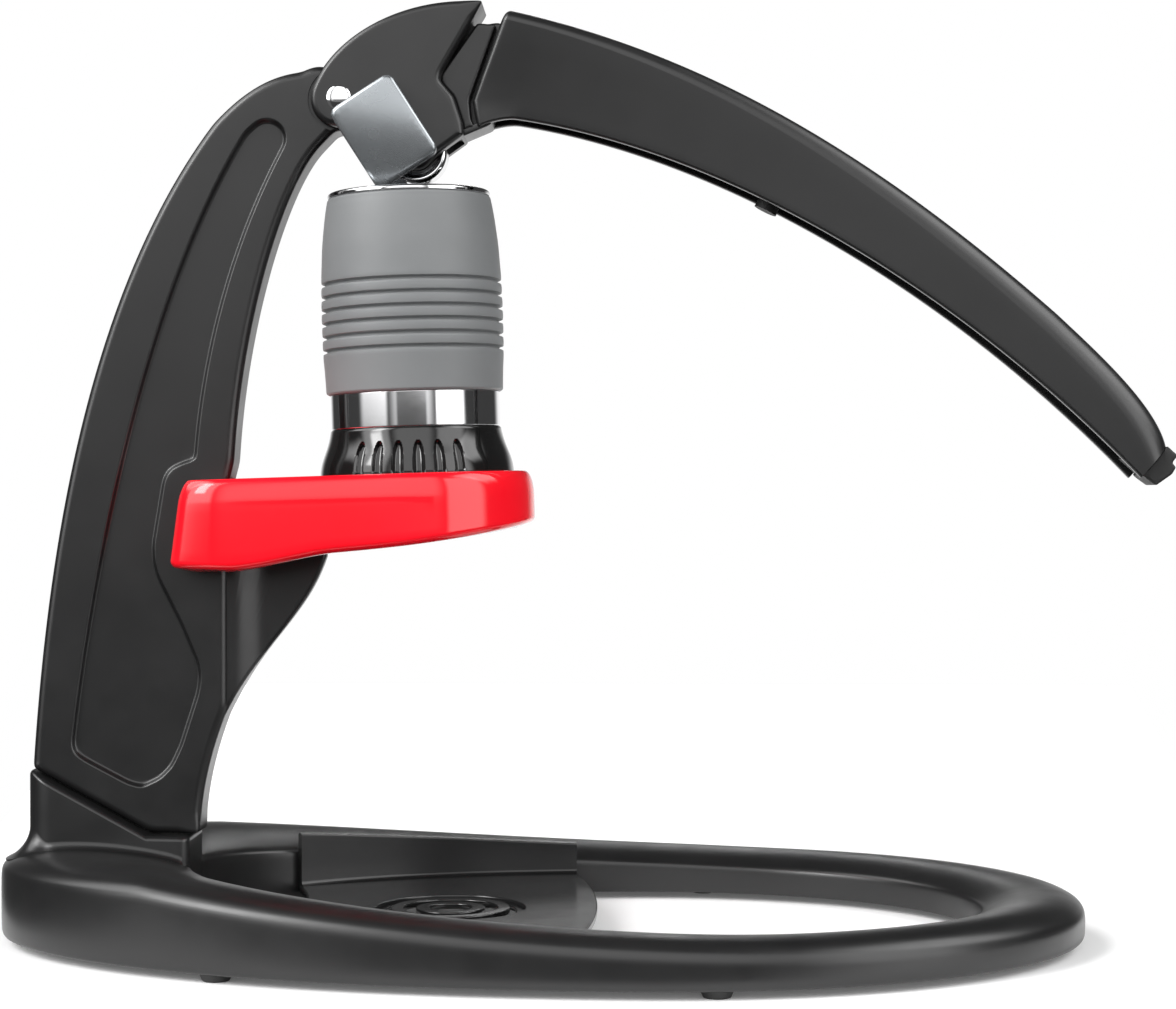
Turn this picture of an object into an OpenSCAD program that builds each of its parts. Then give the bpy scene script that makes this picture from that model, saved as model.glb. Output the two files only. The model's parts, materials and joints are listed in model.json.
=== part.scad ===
// Manual lever espresso maker: a hand press on an oval base ring.
// Millimetres, +Z up, +X towards the tip of the lever, floor at z = 0.

/* [Base ring] */
// Half of the ring's width at its widest place
base_half_w = 86.5; // [80:0.5:95]
// Length from the widest place to the front tip
base_front_len = 116; // [108:1:125]
// Length from the widest place to the back end
base_back_len = 177.5; // [172:0.5:185]
// Width of the rim at the sides
rim_side_w = 20.5; // [16:0.5:26]
// Width of the rim at the front tip
rim_front_w = 27.5; // [20:0.5:34]
// Width of the solid part behind the opening
rim_back_w = 51.5; // [46:0.5:54]
// Height of the rim's crown at the back
rim_back_h = 25.4; // [22:0.2:28]
// Height of the rim's crown at the front
rim_front_h = 14.2; // [11:0.2:18]
// Drop from the crown to the outer edge
rim_outer_drop = 3.7; // [2:0.1:5]
// Drop from the crown to the inner edge
rim_inner_drop = 4.5; // [2:0.1:6]
// Gap between the floor and the ring
foot_gap = 2; // [1:0.25:4]
// Diameter of a rubber foot
foot_d = 8.5; // [7:0.5:12]
// Distance of a foot's edge from the ring's outside
foot_inset = 2; // [1.5:0.25:6]
// Depth of a foot's seat in the ring
foot_seat = 1.5; // [0.5:0.25:3]

/* [Drip tray] */
// Height of the tray's plate above the floor
tray_top_z = 8.3; // [7.5:0.1:10]
// Thickness of the tray's plate
tray_plate_t = 2.4; // [1.5:0.1:3]
// Thickness of the tray's side walls
tray_wall_t = 2; // [1.5:0.1:3]
// Length of the side walls
tray_wall_len = 79.5; // [70:0.5:84]
// Hollow of the plate's back edge
tray_back_sag = 6.7; // [4:0.1:9]
// Height of the far wall's top above the rim's crown
tray_far_rise = 1; // [0:0.1:2]
// Depth of the near wall's top below the rim's crown
tray_near_drop = 4; // [3.6:0.1:5]
// Length by which the plate's front edge passes the walls
tray_nose_len = 7.5; // [5:0.5:10]
// Gap between tray and ring
tray_gap = 0.6; // [0.3:0.1:1]
// Diameter of the grate
grate_d = 40.4; // [36:0.2:44]
// Thickness of the ledge under the grate
grate_ledge_t = 0.7; // [0.5:0.1:1]

/* [Post] */
// Thickness of the post
post_t = 13.5; // [12.5:0.25:14]
// Depth of the recessed side panel
panel_depth = 1; // [0.4:0.1:2]
// Width of the corbel under the bracket
corbel_w = 12.5; // [9:0.25:12.5]
// Thickness of the corbel's web
corbel_web_t = 7.2; // [5:0.2:8.6]
// Depth of the tenon in the base's socket
tenon_len = 17; // [13:0.5:18]
// Thickness of the tenon
tenon_t = 10.5; // [9:0.25:11]
// Wall of the socket outside the post's thickness
socket_wall = 4.75; // [3:0.25:6]

/* [Pivot] */
// Place of the pivot along X
pivot_x = -66.9; // [-68:0.1:-65]
// Height of the pivot
pivot_z = 227.7; // [220:0.1:235]
// Diameter of the pivot pin
pivot_d = 7; // [5:0.5:8]
// Radius of the lever head's round end
head_end_r = 7.8; // [7.4:0.1:8.4]
// Gap of the round seam between post and lever head
seam_gap = 0.9; // [0.6:0.1:1.2]
// Wall of a pivot bush
bush_wall = 1.2; // [0.8:0.1:1.5]
// Thickness of a thrust washer
washer_t = 0.7; // [0.4:0.1:0.7]
// Radial clearance of a running fit
run_clear = 0.05; // [0.02:0.01:0.1]
// Radial clearance of a fixed fit
seat_clear = 0.02; // [0.01:0.01:0.05]

/* [Lever] */
// Width of the lever's head and handle
lever_w = 19.5; // [18.5:0.25:22]
// Wall of the handle's channel
handle_wall = 2.6; // [2:0.1:2.8]
// Radius of the handle's top edges at the lever head
handle_edge_r = 3; // [2:0.5:5]
// Radius of the handle's top edges at the grip
grip_edge_r = 7.5; // [5:0.5:8.5]
// Thickness of the recessed neck
neck_t = 13.6; // [11:0.2:13.6]
// Length of the tenon inside the handle
neck_tenon_len = 30; // [24:1:36]
// Thickness of the end cap
end_cap_t = 6.1; // [4:0.1:8]
// Diameter of the bumper peg under the handle
bumper_d = 6.4; // [5:0.2:8]

/* [Roller and yoke] */
// Distance of the roller's axis from the pivot along X
roller_out = 20.4; // [19.4:0.1:21.4]
// Depth of the roller's axis below the pivot
roller_drop = 14.1; // [13.3:0.1:14.5]
// Radius of the pressure roller
roller_r = 8.3; // [7.5:0.1:8.5]
// Width of the pressure roller
roller_w = 8.8; // [7:0.2:9]
// Width of the roller's pocket in the lever head
roller_gap = 10; // [9.8:0.1:10.4]
// Diameter of the roller's pin
yoke_pin_d = 5; // [4:0.25:6]
// Width of a yoke cheek
yoke_w = 19.6; // [16:0.2:21]
// Length of a yoke cheek
yoke_l = 25; // [22:0.5:26]
// Thickness of a yoke cheek
yoke_t = 6; // [4:0.25:8]
// Lean of the yoke from upright, in degrees
yoke_lean = 32.7; // [28:0.5:38]
// Radius of a yoke cheek's corners
yoke_corner_r = 2.5; // [1.5:0.25:4]
// Side gap between moving cheeks and their neighbours
side_gap = 0.4; // [0.3:0.1:0.6]

/* [Brew head] */
// Distance of the brew axis from the pivot along X, at the bracket's top
brew_out = 20.4; // [18.9:0.1:21.9]
// Depth of the bracket's top below the pivot, at the brew axis
bracket_drop = 102; // [100.7:0.1:103.7]
// Lean of the brew axis towards the post, in degrees
brew_tilt = 1.8; // [0:0.1:2.5]
// Radius of the bracket's round front
bracket_r = 31.7; // [30:0.1:36]
// Wall of the bracket's arms beside the post
bracket_arm_wall = 18.85; // [16:0.05:21]
// Reach of the bracket's arms behind the brew axis
bracket_reach = 65.4; // [62:0.1:68]
// Depth of the bracket at its back
bracket_back_h = 23.2; // [20:0.2:25]
// Depth of the bracket under the brew axis
bracket_mid_h = 18.2; // [15.8:0.2:19]
// Depth of the bracket at its front
bracket_front_h = 13.4; // [11:0.2:14]
// Diameter of the steel band
cylinder_d = 46; // [44:0.5:48]
// Diameter of the cylinder's bore
bore_d = 38; // [34:0.5:39]
// Height of the portafilter above the bracket
portafilter_h = 13.5; // [12:0.25:15]
// Height of the bare steel band
band_h = 9.2; // [7:0.2:12]
// Height of the silicone sleeve
sleeve_h = 53.2; // [50:0.2:54]
// Diameter of the sleeve at its ribs
sleeve_rib_d = 49.4; // [48:0.2:52]
// Diameter of the sleeve at its top
sleeve_top_d = 44.6; // [44.5:0.1:46]
// Number of grooves in the sleeve
groove_n = 6; // [3:1:6]
// Pitch of the sleeve's grooves
groove_pitch = 3.6; // [2.6:0.1:3.8]
// Height of the steel rim above the sleeve
rim_h = 1.4; // [1:0.1:2]
// Diameter of the portafilter's flared foot
flare_d = 52.6; // [49:0.2:54]
// Number of flutes in each group on the portafilter
flute_n = 6; // [3:1:8]
// Height of the piston
piston_h = 12; // [9:0.5:15]
// Diameter of the piston's stem
stem_d = 7; // [6:0.5:8]
// Gap between the roller and the stem's cap
contact_gap = 0.35; // [0.3:0.05:0.6]

/* [Hidden] */
$fn = 64;

black = [0.10, 0.10, 0.10];
gloss_black = [0.03, 0.03, 0.03];
grey = [0.50, 0.51, 0.52];
yoke_grey = [0.45, 0.48, 0.50];
steel = [0.80, 0.80, 0.80];
red = [0.90, 0.02, 0.04];
rubber = [0.05, 0.05, 0.05];

eps = 0.01;
big = 400;

// Curves and lofts
function lerp(a, b, t) = a + (b - a) * t;
function clamp01(t) = max(0, min(1, t));
function bezier_at(p, t) =
  pow(1 - t, 3) * p[0] + 3 * pow(1 - t, 2) * t * p[1] + 3 * (1 - t) * t * t * p[2] + pow(t, 3) * p[3];
function bezier(p, n) = [for (i = [0:n]) bezier_at(p, i / n)];
function bezier_dir(p, t) =
  let (d = 3 * pow(1 - t, 2) * (p[1] - p[0]) + 6 * (1 - t) * t * (p[2] - p[1]) + 3 * t * t * (p[3] - p[2]))
  d / norm(d);
function arc(c, r, a0, a1, n) = [
  for (i = [0:n]) c + r * [cos(lerp(a0, a1, i / n)), sin(lerp(a0, a1, i / n))]
];
function reversed(v) = [for (i = [len(v) - 1:-1:0]) v[i]];

// Solid through a row of sections with equal counts of points, capped at both ends or closed to a loop
module loft(sections, loop) {
  n = len(sections);
  m = len(sections[0]);
  rows = loop ? n : n - 1;
  points = [for (s = sections) for (p = s) p];
  sides = [
    for (i = [0:rows - 1])
      for (j = [0:m - 1])
        let (a = i * m + j, b = i * m + (j + 1) % m, c = ((i + 1) % n) * m)
        each [[a, b, c + j], [b, c + (j + 1) % m, c + j]]
  ];
  // An open channel's end is a strip between its outer line and its inner line
  last = (n - 1) * m;
  caps = loop ? [] : [
    for (j = [0:m / 2 - 2])
      let (k = m - 1 - j)
      each [[j, k - 1, j + 1], [j, k, k - 1], [last + j, last + j + 1, last + k - 1], [last + j, last + k - 1, last + k]]
  ];
  polyhedron(points = points, faces = concat(sides, caps));
}

// Outline in X and Z, extruded to both sides of the middle plane
module side_plate(t) {
  translate([0, t / 2, 0])
    rotate([90, 0, 0])
      linear_extrude(t)
        children();
}

// Round bar along Y, between two values of y
module cross_bar(x, z, r, y0, y1) {
  translate([x, y1, z])
    rotate([90, 0, 0])
      cylinder(r = r, h = y1 - y0);
}

// Base ring: an egg-shaped plan of two half ellipses
base_wide_x = 18;
base_back_x = base_wide_x - base_back_len;
base_tip_x = base_wide_x + base_front_len;
opening_half_w = base_half_w - rim_side_w;
opening_front_len = base_front_len - rim_front_w;
opening_back_len = base_back_len - rim_back_w;
opening_back_x = base_wide_x - opening_back_len;
ring_bottom_z = foot_gap;
slope_end_x = 60;
slope_start_x = -112;
slope_power = 1.8;
crown_power = 2.4;
crown_peak = 0.38;
inner_power = 2;
rim_bottom_r = 1.2;
rim_corner_h = 1.6;
ring_steps = 72;
crown_u = [0.04, 0.1, 0.2, 0.35, 0.5, 0.65, 0.8, 0.92, 0.97];

function egg(a, half_w, front, back) =
  [base_wide_x + (cos(a) >= 0 ? front : back) * cos(a), half_w * sin(a)];
function crown_z(x) =
  rim_front_h + (rim_back_h - rim_front_h) * pow(clamp01((slope_end_x - x) / (slope_end_x - slope_start_x)), slope_power);
function rim_z(x, u) =
  crown_z(x) - (u < crown_peak
    ? rim_outer_drop * pow((crown_peak - u) / crown_peak, crown_power)
    : rim_inner_drop * pow((u - crown_peak) / (1 - crown_peak), inner_power));
function rim_section(a) =
  let (
    o = egg(a, base_half_w, base_front_len, base_back_len),
    i = egg(a, opening_half_w, opening_front_len, opening_back_len),
    w = norm(o - i),
    uv = concat(
      [[rim_bottom_r / w, ring_bottom_z], [0, ring_bottom_z + rim_bottom_r], [0, rim_z(o[0], 0) - rim_corner_h]],
      [for (u = crown_u) [u, rim_z(lerp(o, i, u)[0], u)]],
      [[1, rim_z(i[0], 1) - rim_corner_h / 2], [1, ring_bottom_z]]
    )
  )
  [for (q = uv) [each lerp(o, i, q[0]), q[1]]];
// Half width of the opening at x, with an inset
function opening_y(x, inset) =
  let (len_x = x >= base_wide_x ? opening_front_len : opening_back_len)
  (opening_half_w - inset) * sqrt(max(0, 1 - pow((x - base_wide_x) / (len_x - inset), 2)));
function ring_y(x) =
  let (len_x = x >= base_wide_x ? base_front_len : base_back_len)
  base_half_w * sqrt(1 - pow((x - base_wide_x) / len_x, 2));

foot_xs = [-91, 33];
foot_taper = 0.8;
foot_places = [for (x = foot_xs) for (s = [-1, 1]) [x, s * (ring_y(x) - foot_inset - foot_d / 2)]];

// Places that the pivot carries along
pivot = [pivot_x, pivot_z];
roller_x = pivot_x + roller_out;
roller_z = pivot_z - roller_drop;
brew_x = pivot_x + brew_out;
bracket_z = pivot_z - bracket_drop;
// Points given from the pivot, and points whose heights are given from the bracket's top
function from_pivot(points) = [for (p = points) pivot + p];
function from_bracket(points) = [for (p = points) [p[0], bracket_z + p[1]]];

// Post outline, in X and Z
post_joint = [[-150.6, 46.4], [-118.9, 29], [-105.2, 28.8]];
post_back_foot = [[-150.8, 47], [-147, 105.7]];
post_back_head = [[-69.1, -51.6], [-34.7, -6.3]];
post_back = concat(post_back_foot, from_pivot(post_back_head));
post_top_head = [[-27.1, 1.9], [-19.6, 6.9], [-10.5, 7.7]];
post_top = concat([post_back[3]], from_pivot(post_top_head));
post_tip_head = [[-8.5, 8.7], [-6, 9.3]];
post_tip = from_pivot(post_tip_head);
post_front_low = [post_joint[2], [-105, 42], [-101.2, 54], [-97.5, 63.2]];
neck_x = post_front_low[3][0];
neck_top_z = bracket_z - 2;
post_front_foot = [[-95.9, 4.1]];
post_front_head = [[-27, -59.7], [-14.9, -21.2], [-5.1, -12.1]];
post_front = concat(from_bracket(post_front_foot), from_pivot(post_front_head));
seam_r = head_end_r + seam_gap;
seam_depth = 0.5;
post_end_r = head_end_r + 0.6;
post_end_a = [95, -100];
curve_n = 16;
post_outline = concat(
  [post_joint[0]],
  bezier(post_back, curve_n),
  [for (i = [1:7]) bezier_at(post_top, i / 7)],
  post_tip,
  arc(pivot, post_end_r, post_end_a[0], post_end_a[1], 14),
  reversed(bezier(post_front, curve_n)),
  [[neck_x, neck_top_z]],
  reversed(bezier(post_front_low, 8)),
  [post_joint[1]]
);

// Side panel
panel_left_foot = [[-140.5, 53.2], [-137, 85]];
panel_left_head = [[-57.1, -57.7], [-26.1, -8.2]];
panel_left = concat(panel_left_foot, from_pivot(panel_left_head));
panel_right_foot = [[-105.6, 4.3], [-103.5, 34.3]];
panel_right_head = [[-28.1, -37.7], [-14.9, -13.2]];
panel_right = concat(from_bracket(panel_right_foot), from_pivot(panel_right_head));
panel_top_head = [-19.9, -10.5];
panel_top = pivot + panel_top_head;
panel_top_r = 5.8;
panel_hook_at = [[-110.6, 2.6], [-113, 1.3], [-114.1, -0.9], [-117, -18.5], [-116.8, -23.2], [-115.7, -26.9]];
panel_hook = from_bracket(panel_hook_at);
panel_bulge = [[-109.3, 86.1], [-104.8, 75.5], [-104.2, 71.5], [-104.9, 66.9], [-109.5, 52.5]];
panel_low = [[-112.2, 46.8], [-115.5, 43.4], [-120.7, 40.9], [-124.7, 41.9], [-137, 48.4], [-139.8, 50.4]];
panel_outline = concat(
  bezier(panel_left, curve_n),
  arc(panel_top, panel_top_r, 145, -20, 8),
  reversed(bezier(panel_right, curve_n)),
  panel_hook,
  panel_bulge,
  panel_low
);

// Corbel that carries the bracket
corbel_low_z = 58.7;
corbel_low_x = -98.6;
corbel_nose = [[-91, -45.7], [-77, -39.7], [-71.2, -21.7]];
corbel_curve = concat([[corbel_low_x, corbel_low_z]], from_bracket(corbel_nose));
corbel_back_x = -105;
corbel_nose_x = -70.4;
corbel_centre_x = -98;
corbel_flare_len = 8;

// Hinge: the lever head's cheeks stand on both sides of the post's round end
fork_gap = post_t + 2 * side_gap;
grub_d = 3;
grub_l = 4;
grub_lean = 20;
slot_reach = post_end_r + 0.9;

// Socket and tenon
socket_t = post_t + 2 * socket_wall;
socket_back_x = post_joint[0][0] - 1.3;
socket_front_x = post_joint[2][0] - 2;
socket_corner_r = 8;
joint_gap = 0.3;
tenon_x0 = -141;
tenon_x1 = -112;
tenon_low_z = post_joint[2][1] - tenon_len;
bolt_d = 5;
bolt_head_d = 8.5;
bolt_head_h = 4;
bolt_seat_z = ring_bottom_z + bolt_head_h + 0.5;
post_bolt_xs = [-134, -119];
post_bolt_len = 18;

// Tray
tray_corner_x = -84.5;
tray_wall_end_x = tray_corner_x + tray_wall_len;
tray_nose_x = tray_wall_end_x + tray_nose_len;
tray_bottom_z = tray_top_z - tray_plate_t;
grate_x = -37.5;
grate_gap = 0.3;
grate_seat_w = 1.6;
grate_z = tray_bottom_z + grate_ledge_t;
lug_r = 6;
lug_xs = [-70, -16];
tray_steps = 18;
function tray_side(inset) = [
  for (i = [0:tray_steps])
    let (x = lerp(tray_corner_x, tray_wall_end_x, i / tray_steps))
    [x, opening_y(x, tray_gap + inset)]
];
tray_plan =
  let (
    side = tray_side(0),
    end_y = side[tray_steps][1],
    back_y = side[0][1],
    nose = [for (i = [1:11]) let (y = end_y * cos(180 * i / 12)) [tray_wall_end_x + tray_nose_len * (1 - pow(y / end_y, 2)), y]],
    back = [for (i = [1:11]) let (v = -1 + i / 6) [tray_corner_x + tray_back_sag * (1 - v * v), v * back_y]]
  )
  concat(side, nose, reversed([for (p = side) [p[0], -p[1]]]), back);
// Side view of a wall whose top lies above the crown by rise
function tray_wall_view(rise) = concat(
  [[tray_corner_x, tray_bottom_z]],
  [for (p = tray_side(0)) [p[0], crown_z(p[0]) + rise]],
  [[tray_wall_end_x, tray_bottom_z]]
);

// Bracket
arm_half_w = post_t / 2 + side_gap + bracket_arm_wall;
bracket_bore_r = 22.6;
bracket_gap = 0.2;
bracket_bolt_drop = 12.2;
bracket_bolt_z = bracket_z - bracket_bolt_drop;
bracket_bolt_reach = 36;
bracket_bolt_hold = 14;
bracket_back_slant = 3.9;
bracket_corner_r = 9;
// Bracket's underside in its own frame: straight under the arms, then curved up to the front in two steps
bracket_low = [[-bracket_reach, -bracket_back_h], [-48, -bracket_back_h - 0.6]];
bracket_step = [bracket_low[1], [-40, -bracket_back_h - 0.5], [-31, -bracket_mid_h - 2.4], [-21, -bracket_mid_h - 1.4]];
bracket_low_curve = [bracket_step[3], [0, -bracket_mid_h - 0.2], [18, -bracket_mid_h + 1.5], [bracket_r + 1, -bracket_front_h]];
bracket_under = concat(
  bracket_low,
  [for (i = [1:10]) bezier_at(bracket_step, i / 10)],
  [for (i = [1:10]) bezier_at(bracket_low_curve, i / 10)]
);
tangent_a = 90 + asin((bracket_r - arm_half_w) / bracket_reach);
// Middle of the round at the back of an arm, where it meets the arm's side and its end without a corner
bracket_corner_x = -bracket_reach + bracket_corner_r;
bracket_corner_y = (bracket_r - bracket_corner_r - bracket_corner_x * cos(tangent_a)) / sin(tangent_a);

// Brew head, heights above the bracket's top along the brew axis
brew_axis = [-sin(brew_tilt), 0, cos(brew_tilt)];
band_z = portafilter_h;
sleeve_z = band_z + band_h;
sleeve_top_z = sleeve_z + sleeve_h;
cylinder_top_z = sleeve_top_z + rim_h;
barrel_r = bore_d / 2 + 2.6;
socket_drop = 9;
spigot_r = 20.7;
pocket_r = spigot_r + 0.2;
pocket_z = -5;
screen_t = 0.8;
gasket_t = 1.3;
spigot_z = band_z - 4;
screen_z = spigot_z - screen_t;
gasket_z = screen_z - gasket_t;
basket_wall = 0.8;
spout_flange_t = 1;
spout_r = 5.9;
spout_bore_r = 3;
spout_low_z = -13;
basket_z = pocket_z + spout_flange_t;
piston_r = bore_d / 2 - 0.4;
piston_z = spigot_z + 0.7;
seal_r = 1.1;
seal_ring_r = bore_d / 2 - run_clear - seal_r;
seal_zs = [piston_z + 0.28 * piston_h, piston_z + 0.75 * piston_h];
stem_hold = 6;
cap_r = 4.8;
cap_t = 2.2;
brew_origin = [brew_x, 0, bracket_z];
roller_axis_z = ([roller_x, 0, roller_z] - brew_origin) * brew_axis;
cap_top_z = roller_axis_z - roller_r - contact_gap;
stem_low_z = piston_z + piston_h - stem_hold;

// Lever head outline, in X and Z
roller = [roller_x, roller_z];
roller_boss_r = 5;
head_top_at = [[-1.2, 17.1], [17.4, 27.7], [38.9, 25.9]];
head_top = concat([pivot + head_end_r * [cos(151), sin(151)]], from_pivot(head_top_at));
head_right_at = [[27.7, 6.7], [27.2, 4.7], [31, 0.3], [33.5, -7.2], [33.7, -10], [29.2, -13.2], [24.7, -16.5]];
head_right = from_pivot(head_right_at);
head_outline = concat(
  bezier(head_top, 14),
  head_right,
  arc(roller, roller_boss_r, -50, -130, 8),
  arc(pivot, head_end_r, -60, -200, 16)
);
neck_at = [[30.9, 19.1], [25.9, 8.3], [25.9, -3.7], [31.4, -7.7], [33.3, -10.1], [40.5, -7], [41.4, -1.7]];
neck_start = from_pivot(neck_at);
neck_tenon_drop = 0.7;

// Handle: top and bottom curves, in X and Z
handle_top_at = [[45, 23.9], [101.4, 11.7], [148.4, -18.5], [193.6, -58.3], [203.5, -67.6], [220.1, -82.5], [222.7, -93.6]];
handle_low_at = [[37.2, -7.8], [40.9, -6.1], [44.9, -5.3], [47.8, -5.6], [102.9, -14.2], [165.9, -51.2], [214.9, -102.3]];
handle_top_a = [for (i = [0:3]) pivot + handle_top_at[i]];
handle_top_b = [for (i = [3:6]) pivot + handle_top_at[i]];
handle_low_a = [for (i = [0:3]) pivot + handle_low_at[i]];
handle_low_b = [for (i = [3:6]) pivot + handle_low_at[i]];
top_split = 0.8;
low_split = 0.06;
function handle_top(s) =
  s < top_split ? bezier_at(handle_top_a, s / top_split) : bezier_at(handle_top_b, (s - top_split) / (1 - top_split));
function handle_low(s) =
  s < low_split ? bezier_at(handle_low_a, s / low_split) : bezier_at(handle_low_b, (s - low_split) / (1 - low_split));
handle_steps = 40;
edge_n = 4;
neck_clear = 0.3;
function handle_r(s) = lerp(handle_edge_r, grip_edge_r, s);
// One wall line of the channel's section: up one side, over the round top edges, down the other
function channel_line(half_w, h, r) = concat(
  [[-half_w, 0]],
  arc([-half_w + r, h - r], r, 180, 90, edge_n),
  arc([half_w - r, h - r], r, 90, 0, edge_n),
  [[half_w, 0]]
);
function handle_section(s) =
  let (
    low = handle_low(s),
    rise = handle_top(s) - low,
    h = norm(rise),
    up = rise / h,
    w = lever_w / 2,
    r = min(handle_r(s), 0.7 * h),
    inner_r = max(r - handle_wall, 0.8),
    outline = concat(channel_line(w, h, r), reversed(channel_line(w - handle_wall, h - handle_wall, inner_r)))
  )
  [for (q = outline) [low[0] + up[0] * q[1], q[0], low[1] + up[1] * q[1]]];
tenon_end_s = 0.17 * neck_tenon_len / 30;
neck_tenon = concat(
  [neck_start[0]],
  [for (i = [0:6])
    let (s = tenon_end_s * i / 6, top = handle_top(s), low = handle_low(s), u = (top - low) / norm(top - low))
    top - u * (handle_wall + neck_clear)],
  [[handle_top(tenon_end_s)[0] - 2, pivot_z - neck_tenon_drop], neck_start[6], neck_start[5], neck_start[4], neck_start[3], neck_start[2], neck_start[1]]
);
screw_d = 4;
screw_head_d = 7;
screw_head_h = 3;
screw_outs = [50.9, 62.9];
screw_xs = [for (x = screw_outs) pivot_x + x];
screw_seat_rise = 6.3;
screw_seat_z = pivot_z + screw_seat_rise;
screw_bite = 1.6;
bumper_s = 0.433;
bumper_boss_wall = 1.6;
bumper_rise = 5;
bumper_out = 1.6;

// End cap on the handle's slanted end
end_low = handle_low_b[3];
end_top = handle_top_b[3];
end_h = norm(end_top - end_low);
end_a = atan2(end_top[1] - end_low[1], end_top[0] - end_low[0]);
cap_plug_len = 6;
cap_plug_gap = 0.25;
// End cap's outline: place along the handle's end, and height as a share of the cap's thickness
cap_ridge = [[0.1, 0], [0.1, 0.3], [0.13, 0.8], [0.58, 1], [0.75, 0.92], [0.77, 0.67], [0.98, 0.62], [0.98, 0]];

// The origin lies midway between the base's back end and the lever's tip
end_out = [sin(end_a), -cos(end_a)];
cap_xs = [for (q = cap_ridge) end_low[0] + q[0] * (end_top[0] - end_low[0]) + q[1] * end_cap_t * end_out[0]];
tip_x = max(cap_xs);
middle_x = (base_back_x + tip_x) / 2;
module placed() translate([-middle_x, 0, 0]) children();
module brew_frame() translate(brew_origin) rotate([0, -brew_tilt, 0]) children();

module socket_block() {
  profile = [
    [socket_back_x, ring_bottom_z],
    [socket_back_x, post_joint[0][1] - joint_gap + 0.7],
    post_joint[0] - [0, joint_gap],
    post_joint[1] - [0, joint_gap],
    [socket_front_x, post_joint[2][1] - joint_gap],
    [socket_front_x, ring_bottom_z]
  ];
  intersection() {
    side_plate(socket_t) polygon(profile);
    linear_extrude(big) {
      translate([socket_back_x + socket_corner_r, -socket_t / 2])
        square([socket_front_x - socket_back_x, socket_t]);
      for (s = [-1, 1])
        translate([socket_back_x + socket_corner_r, s * (socket_t / 2 - socket_corner_r)])
          circle(socket_corner_r);
      translate([socket_back_x, -socket_t / 2 + socket_corner_r])
        square([socket_corner_r + eps, socket_t - 2 * socket_corner_r]);
    }
  }
}

module base_ring() color(black) placed() {
  difference() {
    union() {
      loft([for (i = [0:ring_steps - 1]) rim_section(360 * i / ring_steps)], true);
      socket_block();
      for (x = lug_xs, s = [-1, 1])
        translate([x, s * opening_y(x, 0), ring_bottom_z])
          cylinder(r = lug_r, h = tray_bottom_z - ring_bottom_z);
    }
    for (p = foot_places)
      translate([p[0], p[1], ring_bottom_z - 1])
        cylinder(d = foot_d + 2 * seat_clear, h = foot_seat + 1);
    translate([tenon_x0 - joint_gap, -tenon_t / 2 - joint_gap, tenon_low_z - joint_gap])
      cube([tenon_x1 - tenon_x0 + 2 * joint_gap, tenon_t + 2 * joint_gap, big]);
    for (x = post_bolt_xs) {
      translate([x, 0, ring_bottom_z - 1])
        cylinder(d = bolt_head_d + 0.5, h = bolt_seat_z - ring_bottom_z + 1);
      translate([x, 0, 0])
        cylinder(d = bolt_d + 0.4, h = tenon_low_z + 1);
    }
  }
}

module rubber_feet() color(rubber) placed() {
  for (p = foot_places)
    translate([p[0], p[1], 0])
      rotate_extrude()
        polygon([
          [0, 0], [foot_d / 2 - foot_taper, 0], [foot_d / 2, foot_gap],
          [foot_d / 2, foot_gap + foot_seat], [0, foot_gap + foot_seat]
        ]);
}

module tray_wall(rise) {
  intersection() {
    linear_extrude(big) polygon(concat(tray_side(0), reversed(tray_side(tray_wall_t))));
    side_plate(big) polygon(tray_wall_view(rise));
  }
}

module drip_tray() color(black) placed() {
  difference() {
    union() {
      translate([0, 0, tray_bottom_z])
        linear_extrude(tray_plate_t)
          polygon(tray_plan);
      tray_wall(tray_far_rise);
      mirror([0, 1, 0])
        tray_wall(-tray_near_drop);
    }
    translate([grate_x, 0, grate_z])
      cylinder(d = grate_d + 2 * grate_gap, h = big);
    translate([grate_x, 0, 0])
      cylinder(d = grate_d - 2 * grate_seat_w, h = big);
  }
}

module drip_grate() color(black) placed() {
  ring_ds = [[0.80 * grate_d, 0.64 * grate_d], [0.47 * grate_d, 0.29 * grate_d]];
  grate_t = tray_top_z - grate_z;
  seat_t = 0.7;
  spoke_w = 2.6;
  translate([grate_x, 0, grate_z]) {
    for (d = ring_ds)
      difference() {
        cylinder(d = d[0], h = grate_t);
        translate([0, 0, -1])
          cylinder(d = d[1], h = grate_t + 2);
      }
    difference() {
      cylinder(d = grate_d, h = seat_t);
      translate([0, 0, -1])
        cylinder(d = grate_d - 2 * grate_seat_w - 1, h = grate_t + 2);
    }
    for (a = [45, 135])
      rotate([0, 0, a])
        difference() {
          translate([-grate_d / 2 + 1, -spoke_w / 2, 0])
            cube([grate_d - 2, spoke_w, seat_t + 0.2]);
          translate([0, 0, -1])
            cylinder(d = 0.3 * grate_d, h = grate_t + 2);
        }
  }
}

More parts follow.
